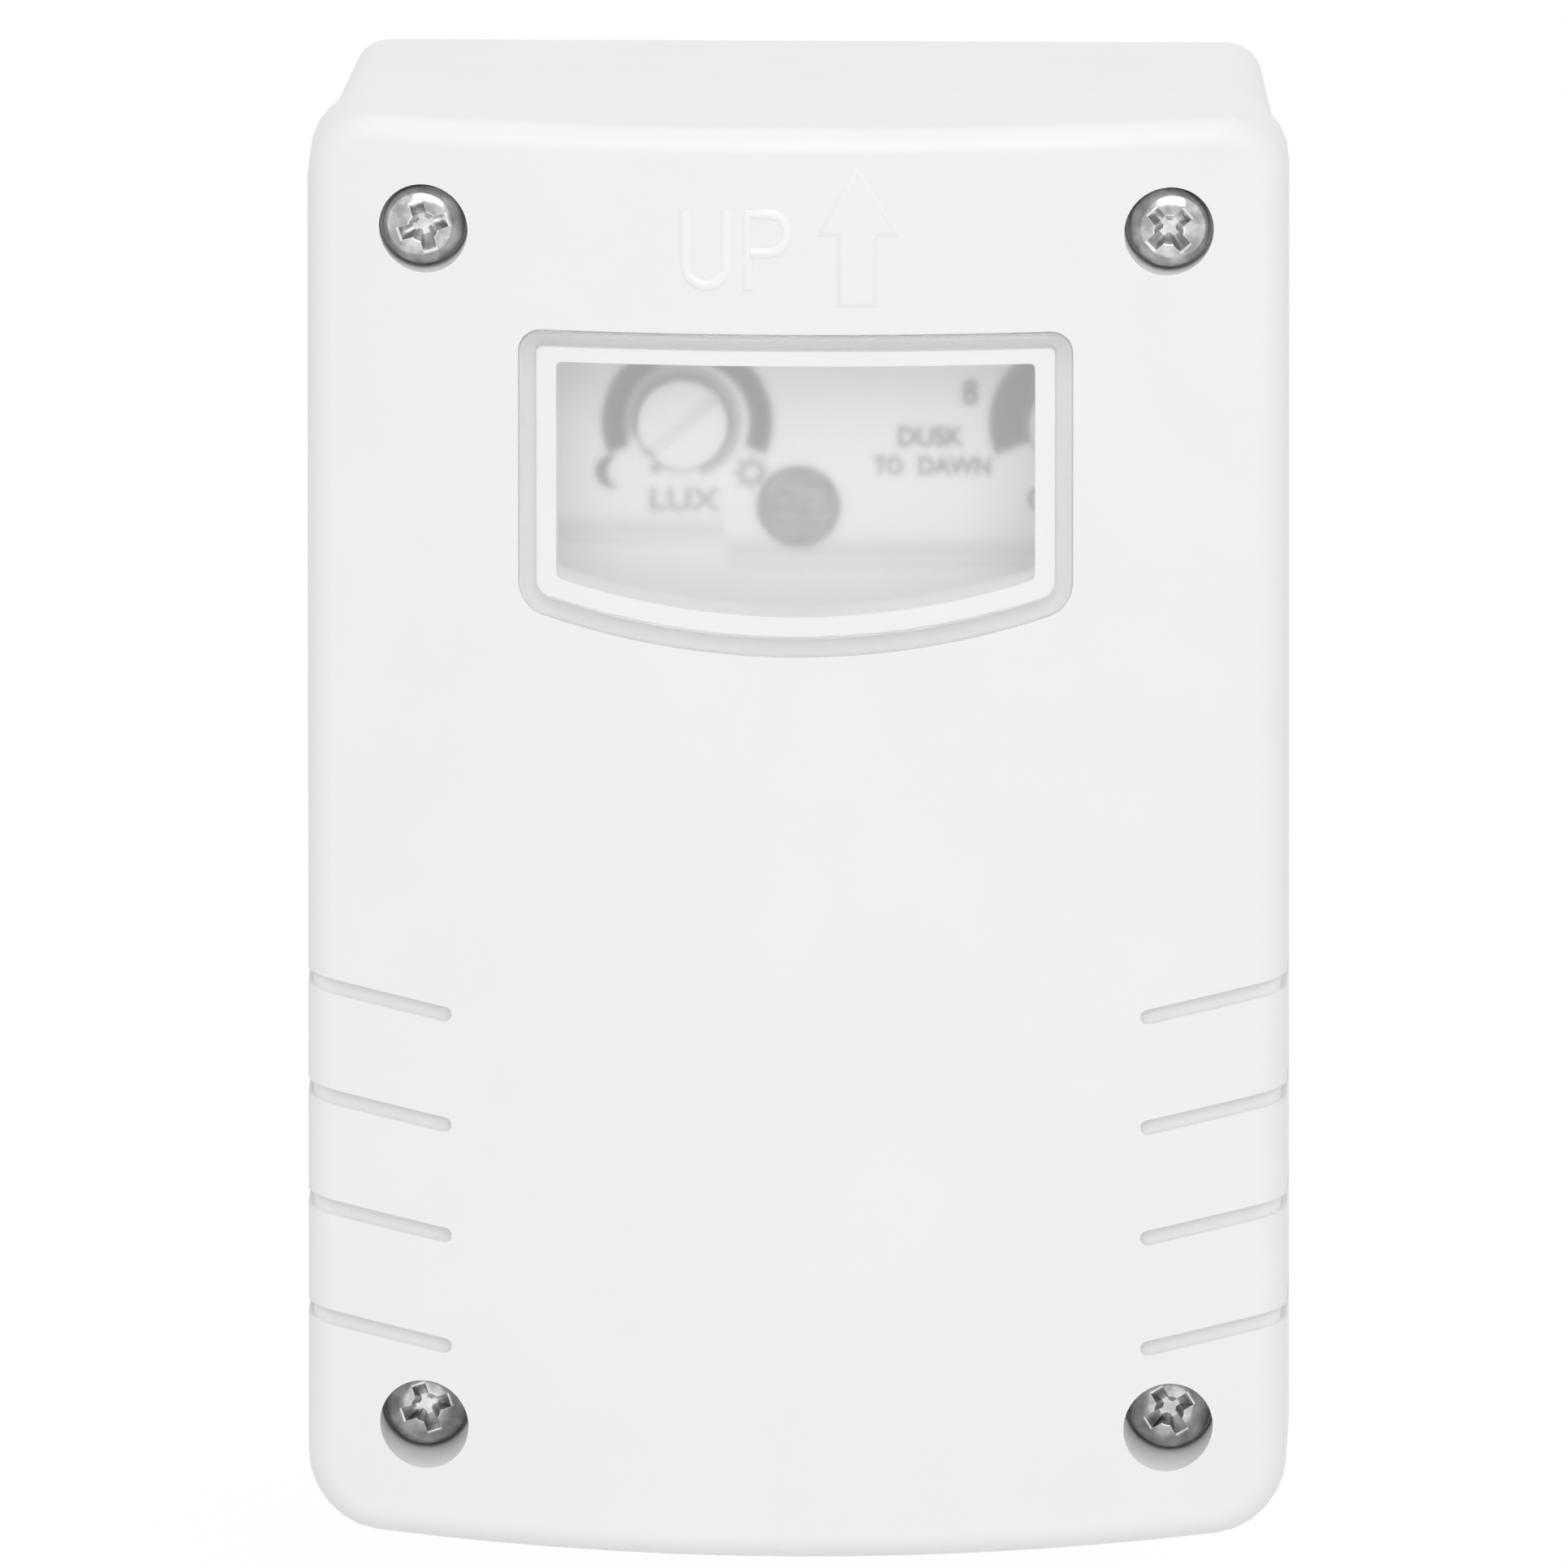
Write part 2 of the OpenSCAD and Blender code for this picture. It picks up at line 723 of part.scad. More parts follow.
module entry_pad() {
    rod(entry_r + flange_over + grommet_gap, -box_wall, 0);
}

module grommet() {
    difference() {
        union() {
            rod(entry_r + flange_over, grommet_gap, grommet_gap + flange_t);
            rod(entry_r - grommet_gap, -box_wall - grommet_gap, grommet_gap + flange_t);
            rod(entry_r + flange_over, -box_wall - grommet_gap - flange_t, -box_wall - grommet_gap);
        }
        rod(cable_r, -box_wall - 2 * flange_t, 2 * flange_t);
    }
}

// Pan head, seated at z = 0: low dome with a round rim
module pan_head(r, h) {
    rim = h / 2;
    rise = h / 5;
    crown = (r * r + rise * rise) / (2 * rise);
    rotate_extrude()
        intersection() {
            union() {
                square([r, h - rim]);
                square([r - rim, h]);
                translate([r - rim, h - rim])
                    circle(rim);
            }
            translate([0, h - crown])
                circle(crown, $fn = bow_fn);
            square([r, h]);
        }
}

// Cross recess, sunk from the top of a head
module cross_recess(size, depth, top) {
    for (turn = [0, 90])
        rotate([0, 0, turn])
            block([2 * size, size / 2, depth + cut], top - depth);
}

module pan_screw(r, l, top_r, top_h) {
    difference() {
        union() {
            rod(r, -l, top_h / 4);
            pan_head(top_r, top_h);
        }
        cross_recess(top_r * 0.55, top_h * 0.65, top_h);
    }
}

module knob(turn) {
    difference() {
        union() {
            rod(knob_r, knob_front - knob_t, knob_front);
            rod(stem_r, board_face + trimmer_h / 2 + stem_gap, knob_front - knob_t / 2);
        }
        rotate([0, 0, turn])
            block([2 * knob_r + cut, slot_w, slot_depth + cut], knob_front - slot_depth);
    }
}

module trimmer() {
    difference() {
        block([trimmer_w, trimmer_w, trimmer_h], board_face);
        rod(stem_r + stem_gap, board_face + trimmer_h / 2, board_face + trimmer_h + cut);
    }
}

// Body lying along x on two bent wires
module axial_part(r, l) {
    lift = r + wire_lead_r;
    translate([0, 0, board_face + lift])
        rotate([0, 90, 0]) {
            cylinder(r = r, h = l, center = true);
            cylinder(r = wire_lead_r, h = l + 2 * wire_lead, center = true);
        }
    for (side = [-1, 1])
        translate([side * (l / 2 + wire_lead - wire_lead_r), 0, 0])
            rod(wire_lead_r, board_face, board_face + lift);
}

module terminal_row() {
    for (i = [0 : terminal_count - 1])
        translate([(i - (terminal_count - 1) / 2) * terminal_pitch, terminal_y, 0])
            children();
}

module front_frame() {
    rotate([90, 0, 0])
        children();
}

module back_box() {
    color("white")
        front_frame()
            back_box_body();
}

module cover_seal() {
    color("gray")
        front_frame()
            translate([0, 0, box_depth])
                seal_ring(0, seal_h);
}

module front_cover() {
    color("whitesmoke")
        front_frame()
            front_cover_body();
}

module window_lens() {
    color([0.85, 0.9, 0.92, 0.4])
        front_frame()
            window_lens_body();
}

module cover_screws() {
    color("silver")
        front_frame()
            for (i = [0 : len(screw_places) - 1])
                translate([screw_places[i][0], screw_places[i][1], seat_depth])
                    rotate([0, 0, screw_turns[i]])
                        pan_screw(shank_r, shank_l, head_r, head_h);
}

module inner_cover() {
    color("white")
        front_frame()
            difference() {
                union() {
                    difference() {
                        translate([0, (inner_top + inner_low) / 2, dial_depth - inner_skirt])
                            linear_extrude(inner_skirt)
                                rounded(inner_w, inner_top - inner_low, inner_corner);
                        translate([0, (inner_top + inner_low) / 2, dial_depth - inner_skirt - cut])
                            linear_extrude(inner_skirt - dial_t + cut)
                                rounded(
                                    inner_w - 2 * inner_wall, inner_top - inner_low - 2 * inner_wall,
                                    inner_corner - inner_wall
                                );
                    }
                    at(inner_fixings)
                        rod(leg_r, board_face, dial_depth - cut);
                }
                at(inner_fixings) {
                    rod(board_screw_r + pass_gap, board_depth, dial_depth);
                    rod(board_head_r + pass_gap, head_seat, dial_depth + cut);
                }
                for (x = [lux_x, timer_x])
                    translate([x, knob_y, 0])
                        rod(knob_r + knob_gap, inner_back - cut, dial_depth + cut);
                translate([0, sensor_y, 0])
                    rod(sensor_r + sensor_gap, inner_back - cut, dial_depth + cut);
            }
}

module inner_cover_screws() {
    reach = head_seat - board_depth + board_screw_bite;
    color("silver")
        front_frame()
            at(inner_fixings)
                translate([0, 0, head_seat])
                    pan_screw(board_screw_r, reach, board_head_r, board_head_h);
}

// Printed sheet: its foot steps down right of the light knob
module dial_sheet() {
    high_foot = sensor_y - sheet_foot;
    low_foot = high_foot - sheet_step;
    left = -inner_w / 2 + inner_wall;
    right = -left;
    step_x = lux_x + knob_r;
    top = knob_y + sheet_head;
    color("gainsboro")
        front_frame()
            translate([0, 0, dial_depth])
                linear_extrude(sheet_t)
                    difference() {
                        polygon([
                            [left, high_foot], [step_x, high_foot], [step_x, low_foot],
                            [right, low_foot], [right, top], [left, top]
                        ]);
                        for (x = [lux_x, timer_x])
                            translate([x, knob_y])
                                circle(knob_r + knob_gap);
                        translate([0, sensor_y])
                            circle(sensor_r + sensor_gap);
                        for (p = inner_fixings)
                            translate(p)
                                circle(board_head_r + 2 * pass_gap);
                    }
}

module lux_knob() {
    color("white")
        front_frame()
            translate([lux_x, knob_y, 0])
                knob(lux_turn);
}

module timer_knob() {
    color("white")
        front_frame()
            translate([timer_x, knob_y, 0])
                knob(timer_turn);
}

module lux_trimmer() {
    color("royalblue")
        front_frame()
            translate([lux_x, knob_y, 0])
                trimmer();
}

module timer_trimmer() {
    color("royalblue")
        front_frame()
            translate([timer_x, knob_y, 0])
                trimmer();
}

// Flat round sensor on two wires
module light_sensor() {
    color("darkgray")
        front_frame()
            translate([0, sensor_y, 0]) {
                rod(sensor_r, sensor_back, sensor_front);
                for (side = [-1, 1])
                    translate([side * sensor_wire_x, 0, 0])
                        rod(sensor_wire_r, board_face, sensor_back + sensor_t / 2);
            }
}

module sensor_spacer() {
    color("white")
        front_frame()
            translate([0, sensor_y, 0])
                difference() {
                    rod(sensor_r - sensor_gap, board_face, sensor_back);
                    rod(sensor_wire_x + 2 * sensor_wire_r, board_face - cut, sensor_back + cut);
                }
}

module circuit_board() {
    color("darkgreen")
        front_frame()
            difference() {
                translate([-board_w / 2, board_low, board_depth])
                    cube([board_w, board_top - board_low, board_t]);
                at(board_fixings)
                    rod(board_screw_r + pass_gap, board_depth - cut, board_face + cut);
            }
}

module board_screws() {
    color("silver")
        front_frame()
            at(low_fixings)
                translate([0, 0, board_face])
                    pan_screw(board_screw_r, board_t + board_screw_bite, board_head_r, board_head_h);
}

module relay() {
    color("black")
        front_frame()
            translate([relay_x, relay_y, 0])
                block([relay_w, relay_l, relay_h], board_face);
}

module film_capacitor() {
    color("goldenrod")
        front_frame()
            translate([film_x, relay_y, 0])
                block([film_w, film_l, film_h], board_face);
}

module smoothing_capacitor() {
    color("midnightblue")
        front_frame()
            translate([can_x, can_y, board_face])
                rotate_extrude()
                    difference() {
                        square([can_r, can_h]);
                        translate([can_r, can_neck])
                            circle(can_bead);
                        translate([0, can_h - can_bead])
                            square([can_r - 2 * can_bead, 2 * can_bead]);
                    }
}

// Round disc standing on two wires
module surge_absorber() {
    disc_z = board_face + disc_lift + disc_r;
    color("steelblue")
        front_frame()
            translate([disc_x, disc_y, 0]) {
                translate([0, 0, disc_z])
                    rotate([90, 0, 0])
                        cylinder(r = disc_r, h = disc_t, center = true);
                for (side = [-1, 1])
                    translate([side * disc_r / 2, 0, 0])
                        rod(disc_wire_r, board_face, disc_z);
            }
}

// Chip between two rows of legs, raised a little off the board
module control_chip() {
    leg_y = (chip_w + chip_leg_t) / 2;
    color("dimgray")
        front_frame()
            translate([chip_x, chip_y, 0]) {
                block([chip_l, chip_w, chip_t], board_face + chip_lift);
                for (side = [-1, 1], i = [0 : chip_legs - 1])
                    translate([(i - (chip_legs - 1) / 2) * chip_pitch, side * leg_y, 0])
                        block([chip_leg_w, chip_leg_t, chip_lift + chip_t / 2], board_face);
            }
}

module rectifier_diodes() {
    color("black")
        front_frame()
            for (i = [0 : diode_count - 1])
                translate([(i - (diode_count - 1) / 2) * diode_pitch, diode_y, 0])
                    axial_part(diode_r, diode_l);
}

// Two rows of two beside the chip
module resistors() {
    color("tan")
        front_frame()
            for (column = [-1, 1], row = [-1, 1])
                translate([resistor_x + column * resistor_step / 2, chip_y + row * resistor_pitch / 2, 0])
                    axial_part(resistor_r, resistor_l);
}

// Side view of the terminal block: its front is cut back over the wire holes
module terminal_profile() {
    half = terminal_d / 2;
    polygon([
        [-half, 0], [half, 0], [half, terminal_h - terminal_step], [half - terminal_step, terminal_h],
        [-half + terminal_step, terminal_h], [-half, terminal_h - 2 * terminal_step]
    ]);
}

// Block with a pocket for each clamp, a wire hole from below and a screw hole in front
module terminal_block() {
    color("ivory")
        front_frame()
            difference() {
                translate([-terminal_row_w / 2, terminal_y, board_face])
                    rotate([90, 0, 90])
                        linear_extrude(terminal_row_w)
                            terminal_profile();
                terminal_row() {
                    block([
                        clamp_w + 2 * terminal_gap, clamp_d + 2 * terminal_gap, clamp_h + 2 * terminal_gap
                    ], clamp_depth - terminal_gap);
                    rod(terminal_head_r + terminal_gap, clamp_depth, board_face + terminal_h + cut);
                    translate([0, 0, wire_depth])
                        rotate([90, 0, 0])
                            rod(wire_r, 0, terminal_d);
                }
            }
}

module terminal_clamps() {
    color("goldenrod")
        front_frame()
            terminal_row()
                difference() {
                    block([clamp_w, clamp_d, clamp_h], clamp_depth);
                    rod(terminal_screw_r + thread_gap, clamp_front - clamp_h / 3, clamp_front + cut);
                    translate([0, 0, wire_depth])
                        rotate([90, 0, 0])
                            rod(wire_r, -clamp_d, clamp_d);
                }
}

module terminal_screws() {
    color("silver")
        front_frame()
            terminal_row()
                translate([0, 0, clamp_front])
                    difference() {
                        union() {
                            rod(terminal_screw_r, -clamp_h / 3 + thread_gap, terminal_head_h);
                            rod(terminal_head_r, 0, terminal_head_h);
                        }
                        block(
                            [2 * terminal_head_r + cut, terminal_slot, terminal_head_h], terminal_head_h / 2
                        );
                    }
}

module cable_grommets() {
    color("dimgray")
        front_frame()
            entries()
                grommet();
}

back_box();
cover_seal();
front_cover();
window_lens();
cover_screws();
inner_cover();
inner_cover_screws();
dial_sheet();
lux_knob();
timer_knob();
lux_trimmer();
timer_trimmer();
light_sensor();
sensor_spacer();
circuit_board();
board_screws();
relay();
film_capacitor();
smoothing_capacitor();
surge_absorber();
control_chip();
rectifier_diodes();
resistors();
terminal_block();
terminal_clamps();
terminal_screws();
cable_grommets();
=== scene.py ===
import json
import math

import bmesh
import bpy
import numpy as np
from bpy.props import FloatProperty, FloatVectorProperty, PointerProperty
from mathutils import Matrix, Vector


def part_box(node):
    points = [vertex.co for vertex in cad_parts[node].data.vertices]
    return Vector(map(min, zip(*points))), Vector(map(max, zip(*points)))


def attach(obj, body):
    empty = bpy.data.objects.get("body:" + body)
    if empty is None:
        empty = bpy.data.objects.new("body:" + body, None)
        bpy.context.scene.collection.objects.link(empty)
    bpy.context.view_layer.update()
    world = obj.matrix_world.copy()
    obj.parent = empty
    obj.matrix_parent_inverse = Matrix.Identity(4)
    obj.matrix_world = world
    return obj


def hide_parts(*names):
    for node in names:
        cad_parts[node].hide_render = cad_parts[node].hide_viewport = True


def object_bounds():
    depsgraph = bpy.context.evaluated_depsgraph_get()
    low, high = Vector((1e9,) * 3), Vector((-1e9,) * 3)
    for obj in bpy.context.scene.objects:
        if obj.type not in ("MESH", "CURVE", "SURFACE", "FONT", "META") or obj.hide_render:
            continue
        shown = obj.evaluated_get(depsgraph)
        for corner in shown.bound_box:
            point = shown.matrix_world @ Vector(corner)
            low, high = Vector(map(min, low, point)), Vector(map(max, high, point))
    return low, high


bl_info = {
    "name": "Photocell switch",
    "version": (1, 0, 0),
    "blender": (4, 5, 0),
    "location": "View3D > Sidebar > Switch",
    "description": "Dresses the solids of a wall-mounted photocell switch",
    "category": "Object",
}

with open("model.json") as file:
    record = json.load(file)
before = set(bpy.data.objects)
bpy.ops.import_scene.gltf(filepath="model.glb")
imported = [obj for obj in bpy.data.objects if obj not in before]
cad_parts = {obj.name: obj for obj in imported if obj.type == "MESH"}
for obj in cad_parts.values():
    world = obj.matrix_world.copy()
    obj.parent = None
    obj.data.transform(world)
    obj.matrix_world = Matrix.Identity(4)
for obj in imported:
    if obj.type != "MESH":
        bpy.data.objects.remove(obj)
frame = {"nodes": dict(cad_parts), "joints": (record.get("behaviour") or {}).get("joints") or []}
cad_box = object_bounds()
MM = 0.001
SWITCH = "switch"
LUX, TIMER = (Vector(joint["pos_m"]) for joint in frame["joints"])
_, COVER_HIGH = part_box("front_cover")
LENS_LOW, LENS_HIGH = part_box("window_lens")
SHEET_LOW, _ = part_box("dial_sheet")
SENSOR_LOW, SENSOR_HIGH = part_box("light_sensor")


# Sizes and colours that a user may change

def number(name, description, default, **more):
    return FloatProperty(name=name, description=description, default=default, **more)


def length(name, description, default):
    return number(name, description, default, unit="LENGTH", precision=5)


def angle(name, description, degrees):
    return number(name, description, math.radians(degrees), subtype="ANGLE")


def share(name, description, default):
    return number(name, description, default, min=0, max=1, subtype="FACTOR")


def colour(name, description, default):
    return FloatVectorProperty(
        name=name, description=description, default=default, subtype="COLOR", size=3)


class CoverSizes(bpy.types.PropertyGroup):
    """Outer skin of the front cover"""

    apex_depth: length("Apex depth", "From the wall to the front at mid height", 41 * MM)
    bow_radius: length("Bow radius", "Radius of the front across its width", 115 * MM)
    lean: angle("Lean", "How far the front leans back towards its top", 3)
    corner: length("Corner", "Corner radius seen from the front", 4.8 * MM)
    edge: length("Edge", "Rounding of the front edge", 1.8 * MM)
    foot_bow: length("Foot bow", "How far the foot bows down in the middle", 1.2 * MM)


class WindowSizes(bpy.types.PropertyGroup):
    """Clear lens over the dials"""

    foot_arc: length("Foot arc", "Radius of the bowed foot", 59.8 * MM)
    top_corner: length("Top corner", "Radius of the upper corners", 1.5 * MM)
    low_corner: length("Low corner", "Radius of the lower corners", 2.4 * MM)
    proud: length("Proud", "Height over the cover", 0.5 * MM)
    thickness: length("Thickness", "Thickness of the plate", 1.4 * MM)
    skirt: length("Skirt", "Width of the skirt", 1.15 * MM)
    skirt_depth: length("Skirt depth", "Length of the skirt behind the plate", 1.2 * MM)
    rim: length("Rim", "Rounding of the outer edge", 0.35 * MM)
    gap: length("Gap", "Clearance between the plate and the cover's lip", 0.1 * MM)
    clearness: share("Clearness", "Share of light that passes a face without haze", 0.84)


class SignSizes(bpy.types.PropertyGroup):
    """Raised letters and arrow on the cover"""

    stroke: length("Stroke", "Width of the letters' strokes at their foot", 0.74 * MM)
    rise: length("Rise", "Height of letters and arrow over the cover", 0.16 * MM)
    bevel: length("Bevel", "Slope round the arrow, seen from the front", 0.24 * MM)


class ScrewSizes(bpy.types.PropertyGroup):
    """Cover screws"""

    head_height: length("Head height", "From the seat to the top of the head", 2.5 * MM)
    wing_reach: length("Wing reach", "From the axis to the tip of the cross", 1.72 * MM)
    wing_half: length("Wing half width", "Half the width of a wing of the cross", 0.48 * MM)
    cross_core: length("Cross core", "Radius of the middle of the cross", 1.05 * MM)
    cross_depth: length("Cross depth", "Depth of the cross", 1.25 * MM)
    shank: length("Shank", "Radius of the shank", 1.45 * MM)
    pitch: length("Pitch", "From one ridge of the shank to the next", 1.3 * MM)
    brow: share("Brow", "Share of the head's radius at which its rim starts to fall", 0.62)
    fall: share("Fall", "Share of the head's height by which its rim falls", 0.27)


class DialSizes(bpy.types.PropertyGroup):
    """Print on the dial sheet"""

    band_inner: length("Band inner", "Inner radius of the light knob's dark band", 4.3 * MM)
    band_outer: length("Band outer", "Outer radius of the dark bands", 5.92 * MM)
    band_shift: length("Band shift", "How far right the light knob's band is printed", 0.3 * MM)
    band_turn: angle("Band turn", "Reach of a dark band to each side of the top", 113)
    # A grey ring is drawn round the light knob; the ring's inner radius also starts the timer
    # knob's dark band
    grey_ring_inner: length("Track inner", "Inner radius of the light knob's track", 3.2 * MM)
    grey_ring_outer: length("Track outer", "Outer radius of the light knob's track", 4.05 * MM)
    grey_ring_left: angle("Track left", "Reach of the track to the left of the top", 106)
    grey_ring_right: angle("Track right", "Reach of the track to the right of the top", 161)
    soft: length("Soft edge", "Softness of the print's edges", 0.12 * MM)
    foot: length("Foot", "Height of the sheet's foot over the wall holes' middle", 19.4 * MM)
    step: length("Step", "How much lower the foot lies right of the light knob", 1.45 * MM)
    layer: length("Layer", "Thickness of printed words and signs", 0.02 * MM)


class SwitchColours(bpy.types.PropertyGroup):
    """Colours of the pieces"""

    white: colour("Housing white", "Moulded housing", (0.868, 0.868, 0.864))
    lens: colour("Lens", "Clear window", (0.98, 0.985, 0.985))
    steel: colour("Steel", "Plated screws", (0.56, 0.56, 0.565))
    sheet: colour("Sheet", "Dial sheet", (0.965, 0.965, 0.965))
    # Dark print, which over the timer knob also paints the shade of the gap round the knob
    ink: colour("Ink", "Dark print", (0.052, 0.052, 0.054))
    # Grey of the ring drawn round the light knob
    ring_grey: colour("Pale ink", "Track round the light knob", (0.42, 0.42, 0.425))
    word_ink: colour("Word ink", "Words, numerals and moon", (0.05, 0.05, 0.052))
    sign_ink: colour("Sign ink", "Signs of the light dial", (0.3, 0.3, 0.305))
    knob: colour("Knob", "Setting knobs", (0.93, 0.93, 0.925))
    cell: colour("Sensor", "Face of the light sensor", (0.28, 0.28, 0.285))
    rubber: colour("Rubber", "Grommets and seal", (0.075, 0.075, 0.078))


class StageSettings(bpy.types.PropertyGroup):
    """Floor, light and camera"""

    sky: number("Sky", "Strength of the even light", 0.68, min=0)
    key: number("Key", "Power of the large front lamp", 11.8, min=0, unit="POWER")
    top: number("Top", "Power of the lamp overhead", 2.5, min=0, unit="POWER")
    drop: length("Drop", "From the hanging switch down to the floor", 30 * MM)
    focal: number("Focal length", "Camera lens in millimetres", 1690.0)
    distance: length("Distance", "From the camera to the middle of the switch", 5.124)
    azimuth: angle("Azimuth", "Camera to the right of the front", 1.406)
    elevation: angle("Elevation", "Camera above level", 13.5)
    roll: angle("Roll", "Turn of the picture", 0.08)


GROUPS = {
    "cover": CoverSizes, "window": WindowSizes, "signs": SignSizes, "screws": ScrewSizes,
    "dials": DialSizes, "colours": SwitchColours, "stage": StageSettings,
}


def group(name):
    return getattr(bpy.context.scene, "switch_" + name)


# Shader expressions

# Colour sockets of the mix node, by index because their names repeat
MIX_FIRST, MIX_SECOND, MIX_RESULT = 6, 7, 2


class Field:
    """A node socket that takes part in Python arithmetic."""

    def __init__(self, finish, socket):
        self.finish, self.socket = finish, socket

    def maths(self, operation, *values):
        return self.finish.node("ShaderNodeMath", {"operation": operation}, dict(enumerate(values)))

    def __add__(self, other):
        return self.maths("ADD", self, other)

    def __sub__(self, other):
        return self.maths("SUBTRACT", self, other)

    def __rsub__(self, other):
        return self.maths("SUBTRACT", other, self)

    def __mul__(self, other):
        return self.maths("MULTIPLY", self, other)

    __radd__, __rmul__ = __add__, __mul__

    def least(self, other):
        return self.maths("MINIMUM", self, other)

    def most(self, other):
        return self.maths("MAXIMUM", self, other)

    def root(self):
        return self.maths("SQRT", self)

    def wave(self):
        return self.maths("SINE", self)

    def ramp(self, low, high, start=0.0, end=1.0):
        """Smooth rise from start at low to end at high."""
        ends = {"Value": self, "From Min": low, "From Max": high, "To Min": start, "To Max": end}
        return self.finish.node("ShaderNodeMapRange", {"interpolation_type": "SMOOTHSTEP"}, ends)

    def fade(self, low, high):
        """Smooth fall from 1 at low to 0 at high."""
        return self.ramp(low, high, 1.0, 0.0)

    def within(self, low, high, soft):
        """1 from low to high, with soft ends."""
        return self.ramp(low - soft, low + soft) * self.fade(high - soft, high + soft)


class Finish:
    """A material whose nodes are made by one method."""

    def __init__(self, name, owner=None):
        self.data = owner or bpy.data.materials.new(name)
        self.data.use_nodes = True
        self.tree = self.data.node_tree
        self.tree.nodes.clear()

    def node(self, kind, settings=None, inputs=None, output=0):
        node = self.tree.nodes.new(kind)
        for key, value in (settings or {}).items():
            setattr(node, key, value)
        for key, value in (inputs or {}).items():
            if isinstance(value, Field):
                self.tree.links.new(value.socket, node.inputs[key])
            else:
                node.inputs[key].default_value = value
        return Field(self, node.outputs[output])

    def place(self):
        return self.node("ShaderNodeTexCoord", output="Object")

    def outputs(self, kind, *names):
        """Several outputs of one node."""
        sockets = self.node(kind).socket.node.outputs
        return [Field(self, sockets[name]) for name in names]

    def axes(self):
        """X, Y and Z of a point on the piece, in metres."""
        parts = self.node("ShaderNodeSeparateXYZ", inputs={"Vector": self.place()})
        return [Field(self, socket) for socket in parts.socket.node.outputs]

    def noise(self, size, detail=2.0, rough=0.5):
        """Noise from 0 to 1 with features of about the given size in metres."""
        inputs = {"Vector": self.place(), "Scale": 1 / size, "Detail": detail, "Roughness": rough}
        return self.node("ShaderNodeTexNoise", inputs=inputs)

    def blend(self, factor, first, second):
        """Colour mix: first where the factor is 0, second where it is 1."""
        tints = [c if isinstance(c, Field) else (*c, 1.0) for c in (first, second)]
        inputs = {"Factor": factor, MIX_FIRST: tints[0], MIX_SECOND: tints[1]}
        return self.node("ShaderNodeMix", {"data_type": "RGBA"}, inputs, MIX_RESULT)

    def bump(self, height, depth):
        return self.node("ShaderNodeBump", inputs={"Height": height, "Distance": depth})

    def principled(self, **inputs):
        named = {key.replace("_", " "): value for key, value in inputs.items()}
        return self.node("ShaderNodeBsdfPrincipled", inputs=named, output="BSDF")

    def close(self, shader, kind="Material"):
        end = self.tree.nodes.new("ShaderNodeOutput" + kind)
        self.tree.links.new(shader.socket, end.inputs["Surface"])
        return self.data

    def close_open(self, factor, shader):
        """Ends with a shader that lets light pass where the factor is 1."""
        clear = self.node("ShaderNodeBsdfTransparent")
        return self.close(self.node("ShaderNodeMixShader", inputs={0: factor, 1: shader, 2: clear}))

    def surface(self, **inputs):
        return self.close(self.principled(**inputs))


def shade(tint, factor):
    return tuple(min(1.0, c * factor) for c in tint)


def around(x, z, centre):
    """Way across and up from a centre on the front, and the distance from it."""
    across, up = x - centre[0], z - centre[2]
    return across, up, (across * across + up * up).root()


# Finishes

# Grain and cloudiness of moulded plastic
GRAIN, GRAIN_DEPTH, GRAIN_ROUGH = 0.14 * MM, 0.004 * MM, 0.1
CLOUD, CLOUD_ROUGH = (0.3, 0.7), 0.06
# Screw wells: their walls are painted paler, painted light that stands in for light coming through
# the thin plastic
WELL_EDGE, PAINTED_WELL_LIGHT = (3.0 * MM, 3.2 * MM), 1.12
# Softness of the ends of a printed ring, in radians
RING_END = 0.03


def moulded(name, tint, rough=0.4, patch=9 * MM, spread=0.01, pale=None):
    """Moulded plastic: faint cloudiness and fine mould grain; painted light where the mask pale is
    1, which makes the colour lighter.
    """
    f = Finish(name)
    cloud, fine = f.noise(patch, detail=3), f.noise(GRAIN)
    base = f.blend(cloud.ramp(*CLOUD), shade(tint, 1 - spread), shade(tint, 1 + spread / 2))
    if pale:
        base = f.blend(pale(f), base, shade(tint, PAINTED_WELL_LIGHT))
    return f.surface(
        Base_Color=base,
        Roughness=rough + (fine - 0.5) * GRAIN_ROUGH + (cloud - 0.5) * CLOUD_ROUGH,
        Normal=f.bump(fine, GRAIN_DEPTH))


def painted_well_light(f):
    """1 in the screw wells, where light is painted into the colour."""
    x, _, z = f.axes()
    mask = 0.0
    for low, high in screw_places():
        mask = around(x, z, (low + high) / 2)[2].fade(*WELL_EDGE).most(mask)
    return mask


def clear_lens():
    """Window: frosted, a little milky, with drag from the moulding; lamps shine through it."""
    f = Finish("clear_window")
    tint, haze, acrylic = group("colours").lens, 0.17, 1.49
    drag, fine = f.noise(6 * MM), f.noise(0.5 * MM)
    glass = f.principled(
        Base_Color=f.blend(drag, shade(tint, 0.985), tint),
        Roughness=haze + drag * 0.02 + fine * 0.01,
        Transmission_Weight=group("window").clearness, IOR=acrylic)
    shadow, diffuse = f.outputs("ShaderNodeLightPath", "Is Shadow Ray", "Is Diffuse Ray")
    return f.close_open(shadow.most(diffuse), glass)


